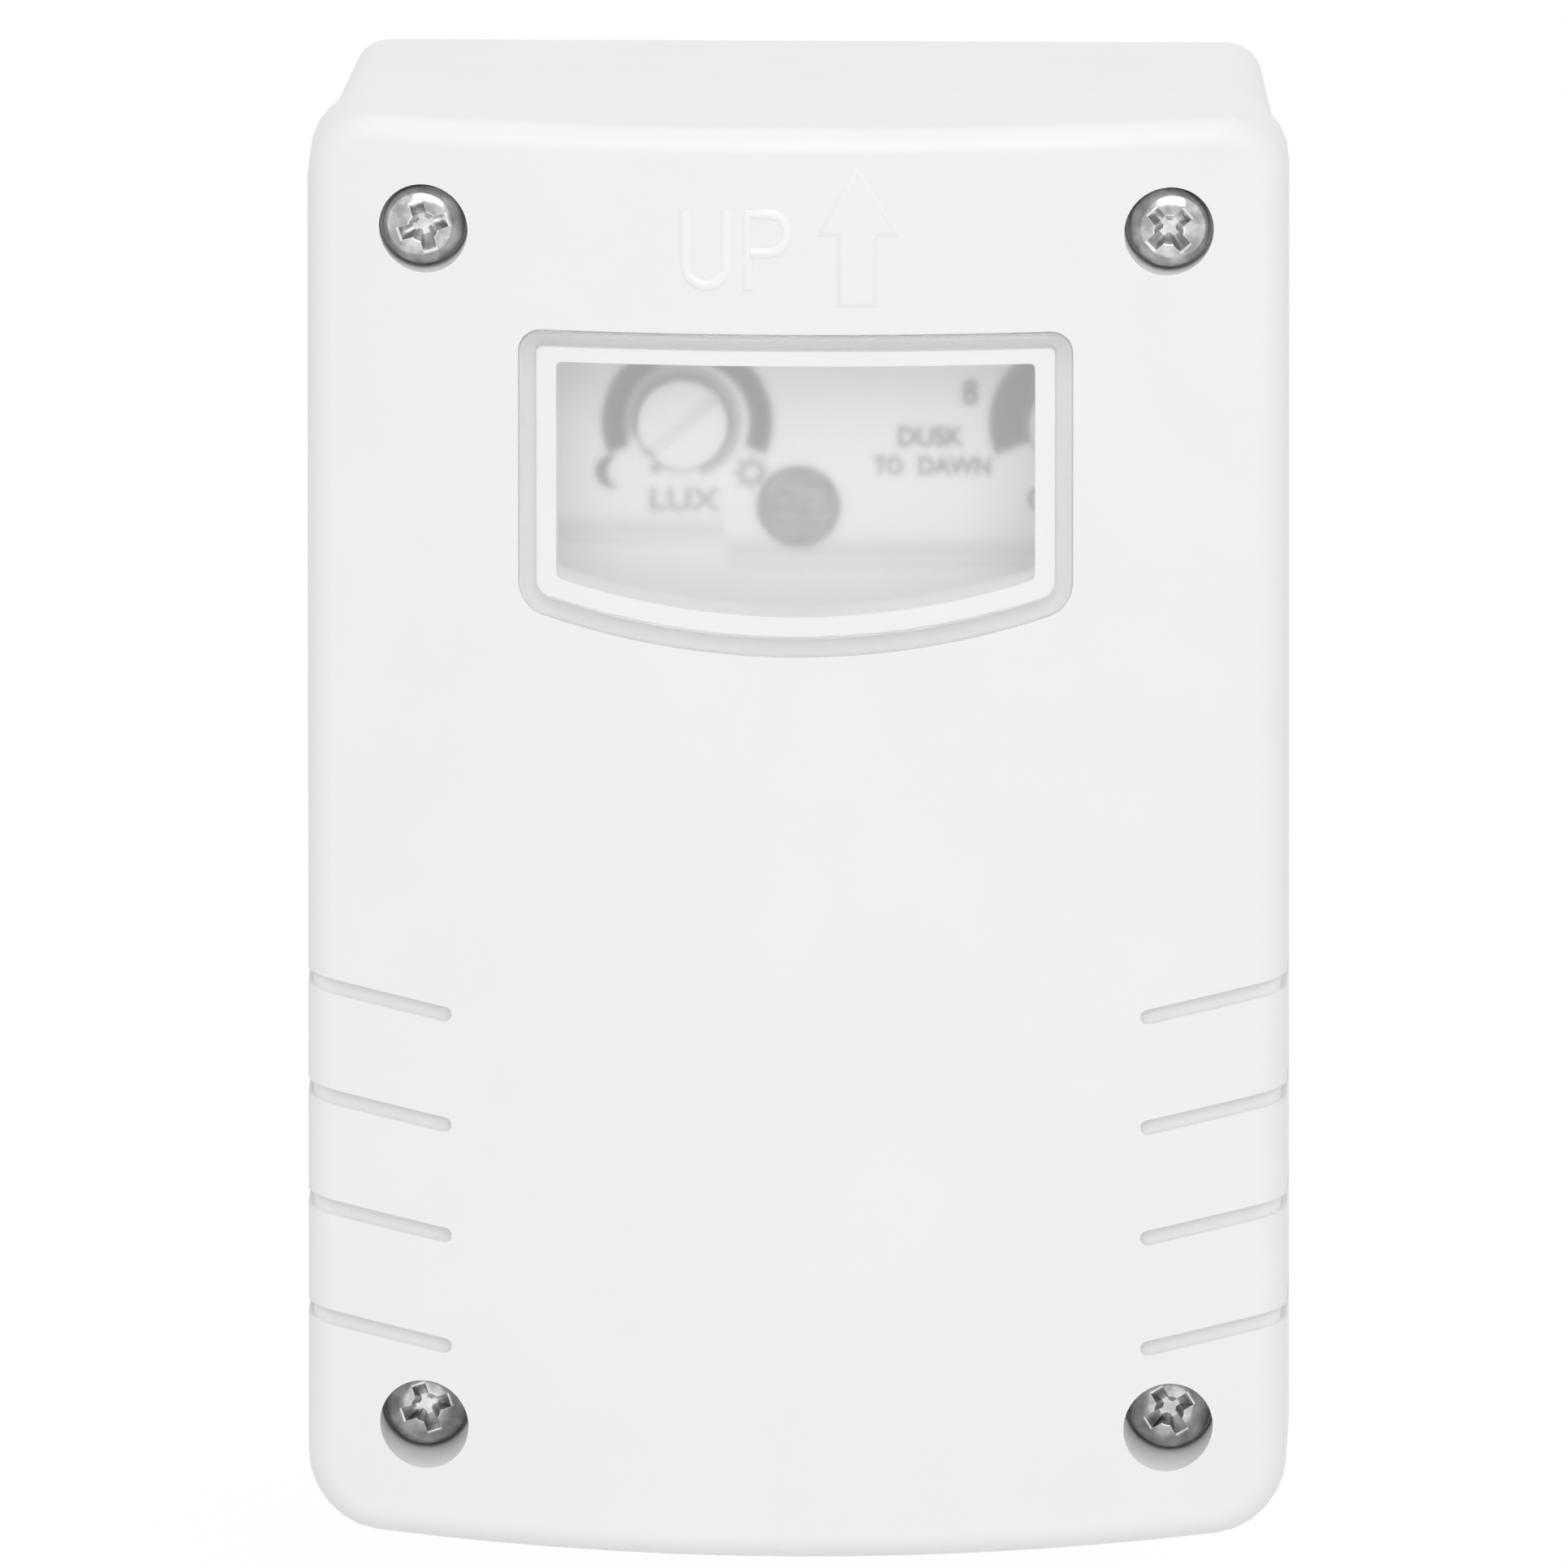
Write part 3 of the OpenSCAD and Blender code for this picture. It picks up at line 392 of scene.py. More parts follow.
def plated(name, tint, painted_shine=None):
    """Plated metal with random blotches of tone that are handling marks and painted reflections at
    once; an attribute, if named, paints highlights on edges and shade in hollows.
    """
    f = Finish(name)
    smear_and_reflection, fine = f.noise(1.4 * MM, detail=3, rough=0.55), f.noise(0.12 * MM)
    # Blotches from dark to light: handling marks and painted reflections
    tone = smear_and_reflection.ramp(0.3, 0.75)
    # The attribute paints highlights and shade ring by ring
    if painted_shine:
        tone = tone * 0.5 + f.node(
            "ShaderNodeAttribute", {"attribute_name": painted_shine}, output="Fac") * 0.65
    return f.surface(
        Base_Color=f.blend(tone, shade(tint, 0.4), shade(tint, 1.7)),
        Roughness=0.1 + smear_and_reflection * 0.12 + fine * 0.04, Metallic=1.0,
        Normal=f.bump(fine, depth=0.002 * MM))


def rubbery(name, tint):
    """Soft rubber with a dusty bloom."""
    f = Finish(name)
    bloom, fine = f.noise(1.6 * MM, detail=3), f.noise(0.2 * MM)
    return f.surface(
        Base_Color=f.blend(bloom.ramp(0.35, 0.75), shade(tint, 0.93), shade(tint, 1.12)),
        Roughness=0.62 + fine * 0.16, Normal=f.bump(fine, depth=0.01 * MM))


def board_resist(name, tint):
    """Solder resist over tracks: the tracks show as slightly lighter runs."""
    f = Finish(name)
    _, _, z = f.axes()
    pitch, sway = 2.6 * MM, f.noise(11 * MM, detail=1) * (3 * MM)
    runs = ((z + sway) * (math.tau / pitch)).wave().ramp(0.1, 0.4)
    return f.surface(
        Base_Color=f.blend(runs, shade(tint, 0.75), shade(tint, 1.3)),
        Roughness=0.3 + f.noise(0.4 * MM) * 0.15, Normal=f.bump(runs, depth=0.03 * MM))


def ring(x, z, centre, inner, outer, left, right):
    """1 on a flat ring about a centre, from left of its top to right of it."""
    across, up, reach = around(x, z, centre)
    turn = across.maths("ARCTAN2", across, up)
    return reach.within(inner, outer, group("dials").soft) * turn.within(-left, right, RING_END)


def printed_sheet():
    """Dial sheet: dark print bands over both knobs, the timer's reaching in to its knob as painted
    shade of the gap round it; a grey ring round the light knob and a shaded foot.
    """
    f = Finish("dial_print")
    d, c = group("dials"), group("colours")
    x, _, z = f.axes()
    shifted = LUX + Vector((d.band_shift, 0, 0))
    lux_band = ring(x, z, shifted, d.band_inner, d.band_outer, d.band_turn, d.band_turn)
    # Over the timer knob the dark band reaches in to the knob: print outside, painted shade of the
    # gap round the knob inside
    timer_band_and_shade = ring(x, z, TIMER, d.grey_ring_inner, d.band_outer, d.band_turn, d.band_turn)
    # A grey ring round the light knob, open below
    grey_ring = ring(x, z, LUX, d.grey_ring_inner, d.grey_ring_outer, d.grey_ring_left, d.grey_ring_right)
    cloud = f.noise(4 * MM)
    paper = f.blend(cloud.ramp(*CLOUD), shade(c.sheet, 0.975), c.sheet)
    right_part = x.ramp(low=-5.2 * MM, high=-5.0 * MM)
    over_foot = z - d.foot + right_part * d.step
    shadow = over_foot.ramp(low=-0.1 * MM, high=1.5 * MM, start=0.8, end=0.0)
    shadow = shadow * over_foot.ramp(low=-0.6 * MM, high=-0.2 * MM)
    paper = f.blend(shadow, paper, shade(c.sheet, 0.72))
    # Paper with the grey ring drawn on it
    printed = f.blend(grey_ring, paper, c.ring_grey)
    return f.surface(
        Base_Color=f.blend(lux_band.most(timer_band_and_shade), printed, c.ink),
        Roughness=0.5 + cloud * 0.1, Normal=f.bump(f.noise(0.3 * MM), depth=0.004 * MM))


def sensor_face():
    """Light sensor: a pale winding path under a clear coat, in a light rim."""
    f = Finish("sensor_face")
    tint = group("colours").cell
    pitch, bend, sway = 0.95 * MM, 1.6 / MM, 0.7
    x, _, z = f.axes()
    across, up, reach = around(x, z, (SENSOR_LOW + SENSOR_HIGH) / 2)
    winding = (up * (math.tau / pitch) + (across * bend).wave() * sway).wave()
    face = winding.ramp(-0.3, 0.3) * reach.fade(low=1.9 * MM, high=2.2 * MM)
    grain = f.noise(0.8 * MM, detail=3).ramp(0.35, 0.65)
    cell = f.blend(face * 0.35 + grain * 0.65, shade(tint, 0.6), shade(tint, 1.45))
    rim = reach.ramp(low=2.56 * MM, high=2.72 * MM)
    return f.surface(
        Base_Color=f.blend(rim, cell, shade(tint, 3.2)),
        Roughness=0.28 + grain * 0.1, Coat_Weight=0.4)


# Forms

# Crease angles in degrees
CREASE, SKIN_CREASE, LENS_CREASE, SIGN_CREASE, LETTER_CREASE, SCREW_CREASE = 35, 28, 40, 45, 50, 26
# Lengths under which points are merged, points of print too, edges dropped and offsets ignored
MERGE, PRINT_MERGE, SLIVER, TINY = 1e-6, 2e-6, 1e-7, 1e-9


def front_depth(x, z):
    """Distance of the cover's front from the wall."""
    c = group("cover")
    bow = c.bow_radius - np.sqrt(c.bow_radius ** 2 - np.square(x))
    return c.apex_depth - np.asarray(z) * math.tan(c.lean) - bow / math.cos(c.lean)


def front_normals(x):
    """Outward normals of the cover's front."""
    c = group("cover")
    slope = x / np.sqrt(c.bow_radius ** 2 - np.square(x)) / math.cos(c.lean)
    lean = np.full_like(slope, math.tan(c.lean))
    normals = np.stack([slope, np.full_like(slope, -1.0), lean], -1)
    return normals / np.linalg.norm(normals, axis=-1, keepdims=True)


def on_front(points):
    """Bends flat points (across, up, height) onto the cover's front."""
    x, z, height = np.asarray(points, float).T
    return np.stack([x, -front_depth(x, z), z], 1) + front_normals(x) * height[:, None]


def skin_normals(points):
    """Normals of the cover's outer skin, and how far each point lies off that skin."""
    c = group("cover")
    x, y, z = points.T
    half_w, half_h = COVER_HIGH.x, COVER_HIGH.z
    sag = np.where(z < 0, c.foot_bow * np.clip(1 - np.square(x / half_w), 0, 1), 0)
    past = np.stack([np.abs(x) - half_w + c.corner, np.abs(z + sag) - half_h + c.corner], 1)
    outside = np.maximum(past, 0)
    reach = np.linalg.norm(outside, axis=1)
    inset = c.corner - reach - np.minimum(past.max(1), 0)
    flat = np.eye(2)[past.argmax(1)]
    outward = outside / np.maximum(reach, TINY)[:, None]
    sideways = np.where(reach[:, None] > TINY, outward, flat)
    sideways = sideways * np.stack([np.sign(x), np.sign(z)], 1)
    level = np.clip(1 - inset / c.edge, 0, 1)
    climb = np.sqrt(1 - level ** 2)
    lateral = np.stack([sideways[:, 0], np.zeros(len(x)), sideways[:, 1]], 1)
    normals = lateral * level[:, None] + front_normals(x) * climb[:, None]
    drop = front_depth(x, z) + y
    miss = np.where(drop >= c.edge, inset, drop - c.edge * (1 - climb))
    return normals / np.linalg.norm(normals, axis=1, keepdims=True), np.abs(miss)


def soften(mesh, crease):
    mesh.shade_smooth()
    mesh.set_sharp_from_angle(angle=math.radians(crease))
    return mesh


def raw_mesh(name, points, edges=(), faces=()):
    mesh = bpy.data.meshes.new(name)
    mesh.from_pydata(points, edges, faces)
    return mesh


def plain_mesh(name, points, faces, crease, copied=False):
    """Merged mesh, smooth except over sharp edges; a copied one keeps the way its faces point."""
    mesh = raw_mesh(name, [tuple(p) for p in points], faces=faces)
    shape = bmesh.new()
    shape.from_mesh(mesh)
    bmesh.ops.remove_doubles(shape, verts=shape.verts, dist=MERGE)
    if copied:
        bmesh.ops.dissolve_degenerate(shape, edges=shape.edges, dist=SLIVER)
    else:
        bmesh.ops.recalc_face_normals(shape, faces=shape.faces)
    shape.to_mesh(mesh)
    shape.free()
    return soften(mesh, crease)


def solid_copy(node, crease):
    """Copy of a solid's mesh with its loose triangles merged."""
    source = frame["nodes"][node].data
    faces = [tuple(p.vertices) for p in source.polygons]
    return plain_mesh(node + "_skin", [v.co for v in source.vertices], faces, crease, copied=True)


def ring_faces(rings, n):
    """Faces between rings of n points that follow each other."""
    return [
        (k * n + i, k * n + (i + 1) % n, (k + 1) * n + (i + 1) % n, (k + 1) * n + i)
        for k in range(rings - 1) for i in range(n)
    ]


def linked(name, data):
    obj = bpy.data.objects.new(name, data)
    bpy.context.scene.collection.objects.link(obj)
    return obj


def baked(obj):
    """An object as evaluated, as a plain mesh; the object is removed."""
    bpy.context.view_layer.update()
    evaluated = obj.evaluated_get(bpy.context.evaluated_depsgraph_get())
    mesh = bpy.data.meshes.new_from_object(evaluated)
    obj.modifiers.clear()
    bpy.data.objects.remove(obj)
    return mesh


def piece(name, mesh, finish, body=SWITCH, stands_for=()):
    obj = linked(name, mesh)
    mesh.materials.clear()
    mesh.materials.append(finish)
    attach(obj, body)
    if stands_for:
        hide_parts(*stands_for)


def skinned(name, node, finish, body=SWITCH, crease=CREASE):
    """A piece with the form of the one solid that it stands for."""
    piece(name, solid_copy(node, crease), finish, body, [node])


def dress(finish, *nodes):
    """Gives solids that keep their own mesh a finish."""
    for node in nodes:
        materials = frame["nodes"][node].data.materials
        materials.clear()
        materials.append(finish)


def grown(tree, name, data, **inputs):
    """Runs a node tree on a mesh and returns the result as a plain mesh."""
    source = linked(name, data)
    modifier = source.modifiers.new("grown", "NODES")
    modifier.node_group = tree
    for item in tree.interface.items_tree:
        if item.item_type == "SOCKET" and item.in_out == "INPUT" and item.name in inputs:
            modifier[item.identifier] = inputs[item.name]
    return baked(source)


class Tree:
    """A geometry node tree with named inputs."""

    def __init__(self, name, **inputs):
        self.tree = bpy.data.node_groups.new(name, "GeometryNodeTree")
        face = self.tree.interface
        face.new_socket("Geometry", in_out="INPUT", socket_type="NodeSocketGeometry")
        for key, kind in inputs.items():
            face.new_socket(key, in_out="INPUT", socket_type="NodeSocket" + kind)
        face.new_socket("Geometry", in_out="OUTPUT", socket_type="NodeSocketGeometry")
        self.start = self.tree.nodes.new("NodeGroupInput").outputs
        self.end = self.tree.nodes.new("NodeGroupOutput").inputs

    def add(self, kind, settings=None, **inputs):
        node = self.tree.nodes.new(kind)
        for key, value in (settings or {}).items():
            setattr(node, key, value)
        for key, value in inputs.items():
            socket = node.inputs[key.replace("_", " ")]
            if isinstance(value, bpy.types.NodeSocket):
                self.tree.links.new(value, socket)
            else:
                socket.default_value = value
        return node.outputs[0]

    def close(self, geometry):
        """Realizes instances, sets the material and ends the tree."""
        solid = self.add("GeometryNodeRealizeInstances", Geometry=geometry)
        painted = self.add(
            "GeometryNodeSetMaterial", Geometry=solid, Material=self.start["Finish"])
        self.tree.links.new(painted, self.end[0])
        return self.tree


# Front cover and box

# How far a face may lie off the skin, and how well it must face along it, to take its normals
SKIN_MISS, SKIN_AGREE = 0.06 * MM, 0.8


def cover_mesh():
    """The cover's solid with the true normals of its bowed, round-edged skin."""
    mesh = solid_copy("front_cover", SKIN_CREASE)
    points = np.array([v.co for v in mesh.vertices], float)
    normals, miss = skin_normals(points)
    corners = np.array([c.vector for c in mesh.corner_normals])
    for face in mesh.polygons:
        own = list(face.vertices)
        along = np.dot(normals[own].mean(0), np.array(face.normal))
        if miss[own].max() <= SKIN_MISS and along >= SKIN_AGREE:
            corners[list(face.loop_indices)] = normals[own]
    mesh.normals_split_custom_set([tuple(n) for n in corners])
    return mesh


class TWILIGHT_OT_housing(bpy.types.Operator):
    """Dress the bow-fronted cover and the box behind it"""

    bl_idname = "twilight.housing"
    bl_label = "Housing"

    def execute(self, context):
        tint = group("colours").white
        # The cover's white, with painted light in the screw wells
        pale = moulded("cover_white", tint, pale=painted_well_light)
        piece("cover_shell", cover_mesh(), pale, stands_for=["front_cover"])
        white = moulded("housing_white", tint)
        skinned("box_shell", "back_box", white, crease=SKIN_CREASE)
        return {"FINISHED"}


# Raised letters and arrow

def arc_points(centre, radii, start, end, steps):
    """Flat arc in millimetres, from a start to an end angle in degrees."""
    turns = np.radians(np.linspace(start, end, steps))
    return [
        (centre[0] + radii[0] * math.cos(t), centre[1] + radii[1] * math.sin(t)) for t in turns]


def letter_paths():
    """Middle lines of the letters U and P, flat, in millimetres."""
    u_x, u_half, u_top, bend_z, bend_h = -6.2, 1.43, 44.2, 40.4, 1.5
    stem_x, stem_foot, bowl_end = -3.27, 38.7, -3.07
    bowl_x, bowl_z, bowl_w, bowl_h = -1.75, 42.6, 1.2, 1.37
    bend = arc_points((u_x, bend_z), (u_half, bend_h), 180, 360, 17)
    bowl = arc_points((bowl_x, bowl_z), (bowl_w, bowl_h), 90, -90, 13)
    u = [(u_x - u_half, u_top), *bend, (u_x + u_half, u_top)]
    stem = [(stem_x, stem_foot), (stem_x, bowl_z + bowl_h)]
    return [u, [*stem, *bowl, (bowl_end, bowl_z - bowl_h)]]


def stroke_tree():
    """Sweeps a low section with sloping sides along flat lines."""
    tree = Tree("raised_strokes", Width="Float", Rise="Float", Finish="Material")
    line = tree.add("GeometryNodeMeshToCurve", Mesh=tree.start["Geometry"])
    flat = tree.add("GeometryNodeSetCurveNormal", {"mode": "Z_UP"}, Curve=line)
    section = tree.add("GeometryNodeCurvePrimitiveCircle", Resolution=6, Radius=0.5)
    size = tree.add("ShaderNodeCombineXYZ", X=tree.start["Width"], Y=tree.start["Rise"], Z=1.0)
    scaled = tree.add("GeometryNodeTransform", Geometry=section, Scale=size)
    swept = tree.add(
        "GeometryNodeCurveToMesh", Curve=flat, Profile_Curve=scaled, Fill_Caps=True)
    return tree.close(swept)


def line_mesh(paths):
    points, edges = [], []
    for path in paths:
        start = len(points)
        points += [(x * MM, z * MM, 0) for x, z in path]
        edges += [(i, i + 1) for i in range(start, len(points) - 1)]
    return raw_mesh("letter_lines", points, edges)


def arrow_mesh(rise, bevel):
    """Raised arrow: a plateau with sloping sides that follows the bow."""
    tip, wing, shaft, base, foot, middle = 47.5, 2.95, 1.43, 42.42, 37.42, 4.3
    tip_draw, wing_draw, sink = 2, 1.7, 0.1 * MM

    def outline(b):
        """Outline drawn in by b, in millimetres."""
        half, barb, level = shaft - b, wing - wing_draw * b, base + b
        return [
            (0, tip - tip_draw * b), (-barb, level), (-half, level), (-half, foot + b),
            (half, foot + b), (half, level), (barb, level),
        ]

    outer, b = outline(0), bevel / MM
    rings = [(outer, -sink), (outer, 0.0), (outline(b), rise), (outline(1.5 * b), rise)]
    points = [((x + middle) * MM, z * MM, h) for flat, h in rings for x, z in flat]
    n = len(outer)
    top = (len(rings) - 1) * n
    cap = [(0, 1, 2), (0, 2, 5), (0, 5, 6), (2, 3, 4, 5)]
    faces = ring_faces(len(rings), n) + [tuple(top + i for i in face) for face in cap]
    faces += [face[::-1] for face in cap]
    return plain_mesh("raised_arrow", on_front(points), faces, SIGN_CREASE)


class TWILIGHT_OT_signs(bpy.types.Operator):
    """Raise the letters and the arrow on the cover"""

    bl_idname = "twilight.signs"
    bl_label = "Raised signs"

    def execute(self, context):
        s = group("signs")
        # The letters take the housing white painted 5 % lighter: a painted highlight on their tops
        white = moulded("sign_white", shade(group("colours").white, 1.05), 0.3, patch=4 * MM)
        tall = 2 * s.rise / math.sin(math.pi / 3)
        letters = grown(
            stroke_tree(), "letter_lines", line_mesh(letter_paths()),
            Width=s.stroke, Rise=tall, Finish=white)
        flat = np.array([v.co for v in letters.vertices])
        letters.vertices.foreach_set("co", on_front(flat).ravel())
        piece("raised_letters", soften(letters, LETTER_CREASE), white)
        arrow = arrow_mesh(s.rise, s.bevel)
        piece("raised_arrow", arrow, bpy.data.materials["cover_white"])
        return {"FINISHED"}


# Window

# Grid of the lens, points round a corner, and the least corner radii of an inner outline
COLUMNS, ROWS, CORNER_STEPS = 27, 15, 9
LEAST_TOP, LEAST_LOW = 0.4 * MM, 0.6 * MM
RIM_TURNS = (0, 18, 36, 54, 72)


def lens_rows(inset):
    """Grid of points over the window's outline, drawn in by an inset, row by row upwards."""
    w = group("window")
    half, top = LENS_HIGH.x - inset, LENS_HIGH.z - inset
    big, arc_z = w.foot_arc - inset, LENS_LOW.z + w.foot_arc
    r, low = max(w.top_corner - inset, LEAST_TOP), max(w.low_corner - inset, LEAST_LOW)
    low_z = arc_z - math.sqrt((big - low) ** 2 - (half - low) ** 2)
    touch = (half - low) * big / (big - low)
    near = half - low * (1 - np.sin(np.linspace(0, math.pi / 2, CORNER_STEPS)))
    middle = np.linspace(low - half, half - low, COLUMNS)[1:-1]
    x = np.concatenate([-near[::-1], middle, near])
    out = np.abs(x)
    top_round = top - r + np.sqrt(np.maximum(r * r - np.square(out - half + r), 0))
    low_round = low_z - np.sqrt(np.maximum(low * low - np.square(out - half + low), 0))
    head = np.where(out > half - r, top_round, top)
    foot = np.where(out > touch, low_round, arc_z - np.sqrt(big * big - np.square(x)))
    steps = np.linspace(0, 1, ROWS)[:, None]
    return np.broadcast_to(x, (ROWS, len(x))), foot + (head - foot) * steps


def rim_of(grid):
    """Outer points of a grid, in order round it."""
    return np.concatenate([grid[0, :-1], grid[:-1, -1], grid[-1, :0:-1], grid[:0:-1, 0]])


def lens_mesh():
    """Bowed plate with a skirt behind it and a rounded front edge."""
    w = group("window")
    seat = w.thickness - w.proud - w.gap
    foot = -seat - w.skirt_depth
    points, faces = [], []

    def add(x, z, height):
        start = len(points)
        points.extend(on_front(np.stack([x, z, np.full(len(x), height)], 1)))
        return np.arange(start, len(points))

    def sheet(inset, height, turned=False):
        """Filled grid, turned over for the back; gives its outer points."""
        x, z = lens_rows(inset)
        grid = add(x.ravel(), z.ravel(), height).reshape(x.shape)
        quads = np.stack([grid[:-1, :-1], grid[:-1, 1:], grid[1:, 1:], grid[1:, :-1]], -1)
        quads = quads[..., ::-1] if turned else quads
        faces.extend(quads.reshape(-1, 4).tolist())
        return rim_of(grid)

    def band(inset, height):
        x, z = lens_rows(inset)
        return add(rim_of(x), rim_of(z), height)

    walls = [(w.skirt, foot), (0, foot), (0, -seat - w.skirt_depth / 2)]
    for turn in np.radians(RIM_TURNS):
        inset, drop = w.rim * (1 - math.cos(turn)), w.rim * (1 - math.sin(turn))
        walls.append((inset, w.proud - drop))
    loops = [sheet(w.skirt, -seat, turned=True), *(band(*wall) for wall in walls)]
    loops.append(sheet(w.rim, w.proud))
    for lower, upper in zip(loops, loops[1:]):
        quads = np.stack([lower, np.roll(lower, -1), np.roll(upper, -1), upper], 1)
        faces.extend(quads.tolist())
    return plain_mesh("lens_plate", points, faces, LENS_CREASE)


class TWILIGHT_OT_window(bpy.types.Operator):
    """Make the clear window with its rounded rim"""

    bl_idname = "twilight.window"
    bl_label = "Window"

    def execute(self, context):
        lens = lens_mesh()
        piece("lens_plate", lens, clear_lens(), stands_for=["window_lens"])
        return {"FINISHED"}


# Cover screws

# Painted light on a plain ring of the screw: its brightness, from 0 (painted shade) to 1 (painted
# highlight)
PLAIN_SHINE = 0.25
# Rings in the cross recess: size of the cross, share of the recess's depth, painted brightness
# (painted shade in the recess)
RECESS = ((0.42, 1.0, 0.6), (0.8, 0.55, 0.2))
# Rings of the recess's lip: size of the cross, depth under the crown, painted brightness (a painted
# highlight round the mouth)
LIP = ((0.95, 0.09 * MM, 0.35), (0.985, 0.03 * MM, 0.95), (1.03, 0.0, 1.0), (1.09, 0.0, 0.35))
# Rings on the crown: way from the lip to the shoulder, which is a share of the head's radius
CROWN, SHOULDER = (0.4, 0.75, 1.0), 0.72
# Rings of the falling rim: share of the head's radius, painted brightness
FALL = ((0.8, 0.35), (0.87, 0.35), (0.92, PLAIN_SHINE), (0.96, PLAIN_SHINE), (0.985, PLAIN_SHINE), (1.0, PLAIN_SHINE))
# Share of the head's height that the crown rises, and share of the rim's fall that is straight
CROWN_RISE, STRAIGHT = 1 / 9, 0.25
# Bevel under the head; start, hollows, last ridge, tip and tip's length of the shank
FOOT_EDGE = 0.04 * MM
SHANK_START, SHANK_HOLLOW, SHANK_LAST, SHANK_TIP, TIP_LENGTH = 0.6 * MM, 0.74, 0.9, 0.12, 1.5 * MM
# Turn of each screw about its axis, in degrees
SCREW_TURNS = (17, 42, 19, 31)


def screw_places():
    """Low and high corner of the box that each screw fills."""
    points = np.array([v.co for v in frame["nodes"]["cover_screws"].data.vertices])
    boxes = []
    for side, level in ((-1, 1), (1, 1), (-1, -1), (1, -1)):
        own = points[(points[:, 0] * side > 0) & (points[:, 2] * level > 0)]
        boxes.append((own.min(0), own.max(0)))
    return boxes


def cross_outline(reach, half, core):
    """Outline of a cross recess with a round core, counter-clockwise."""
    bend = math.asin(half / core)
    hollow = core * math.cos(bend)
    midway = (hollow + reach) / 2
    turns = np.linspace(bend, math.pi / 2 - bend, 6)
    quarter = [(reach, 0.0), (reach, half), (midway, half)]
    quarter += [(core * math.cos(t), core * math.sin(t)) for t in turns]
    quarter += [(half, midway), (half, reach)]
    points = []
    for k in range(4):
        c, s = math.cos(k * math.pi / 2), math.sin(k * math.pi / 2)
        points += [(x * c - y * s, x * s + y * c) for x, y in quarter]
    return np.array(points)


def screw_mesh(head_r, whole):
    """Pan-head screw along Z with its seat at 0: crown, falling rim, cross and ridged shank; each
    ring carries painted light for the colour.
    """
    s = group("screws")
    height, brow, fall = s.head_height, head_r * s.brow, s.head_height * s.fall
    rise = height * CROWN_RISE
    crown = (head_r ** 2 + rise ** 2) / (2 * rise)
    cross = cross_outline(s.wing_reach, s.wing_half, s.cross_core)
    n = len(cross)
    turns = np.arctan2(cross[:, 1], cross[:, 0])
    circle = np.stack([np.cos(turns), np.sin(turns)], 1)
    rings, shine = [], []

    def add(flat, z, bright=PLAIN_SHINE):
        rings.append(np.column_stack([flat, np.broadcast_to(z, n)]))
        shine.append(bright)

    def top(flat):
        """Height of the head over flat points."""
        radius = np.linalg.norm(flat, axis=1)
        dome = height - crown + np.sqrt(crown ** 2 - radius ** 2)
        over = np.clip((radius - brow) / (head_r - brow), 0, 1)
        curve = 1 - np.sqrt(1 - over ** 2)
        return dome - fall * (STRAIGHT * over + (1 - STRAIGHT) * curve)

    for size, part, bright in RECESS:
        add(cross * size, height - s.cross_depth * part, bright)
    for size, sink, bright in LIP:
        add(cross * size, top(cross * size) - sink, bright)
    for t in CROWN:
        flat = cross * LIP[-1][0] * (1 - t) + circle * head_r * SHOULDER * t
        add(flat, top(flat))
    for part, bright in FALL:
        add(circle * head_r * part, top(circle * head_r * part), bright)
    add(circle * head_r, FOOT_EDGE)
    add(circle * (head_r - FOOT_EDGE), 0.0)
    add(circle * s.shank, 0.0)
    end, z = height - whole, -SHANK_START
    while z - s.pitch > end + TIP_LENGTH:
        add(circle * s.shank, z)
        add(circle * s.shank * SHANK_HOLLOW, z - s.pitch / 2)
        z -= s.pitch
    add(circle * s.shank * SHANK_LAST, z)
    add(circle * s.shank * SHANK_TIP, end)
    last = (len(rings) - 1) * n
    caps = [tuple(range(n)), tuple(range(last, last + n))]
    faces = ring_faces(len(rings), n) + caps
    mesh = plain_mesh("cover_screw", np.concatenate(rings), faces, SCREW_CREASE)
    # Painted highlights and shade: each ring's brightness goes into the colour through this
    # attribute
    painted_shine = mesh.attributes.new("painted_shine", "FLOAT", "POINT")
    painted_shine.data.foreach_set("value", np.repeat(shine, n).astype(np.float32))
    return mesh


def screw_tree():
    """Sets one screw on every point, turned about its axis by the point's own angle."""
    tree = Tree("screw_row", Screw="Object", Finish="Material")
    shape = tree.add("GeometryNodeObjectInfo", Object=tree.start["Screw"])
    turn = tree.add("GeometryNodeInputNamedAttribute", {"data_type": "FLOAT"}, Name="turn")
    forward = tree.add("ShaderNodeCombineXYZ", X=math.pi / 2, Y=0.0, Z=0.0)
    spin = tree.add("ShaderNodeCombineXYZ", X=0.0, Y=0.0, Z=turn)
    facing = tree.add(
        "FunctionNodeRotateRotation", {"rotation_space": "LOCAL"},
        Rotation=forward, Rotate_By=spin)
    row = tree.add(
        "GeometryNodeInstanceOnPoints", Points=tree.start["Geometry"],
        Instance=shape.node.outputs["Geometry"], Rotation=facing)
    return tree.close(row)


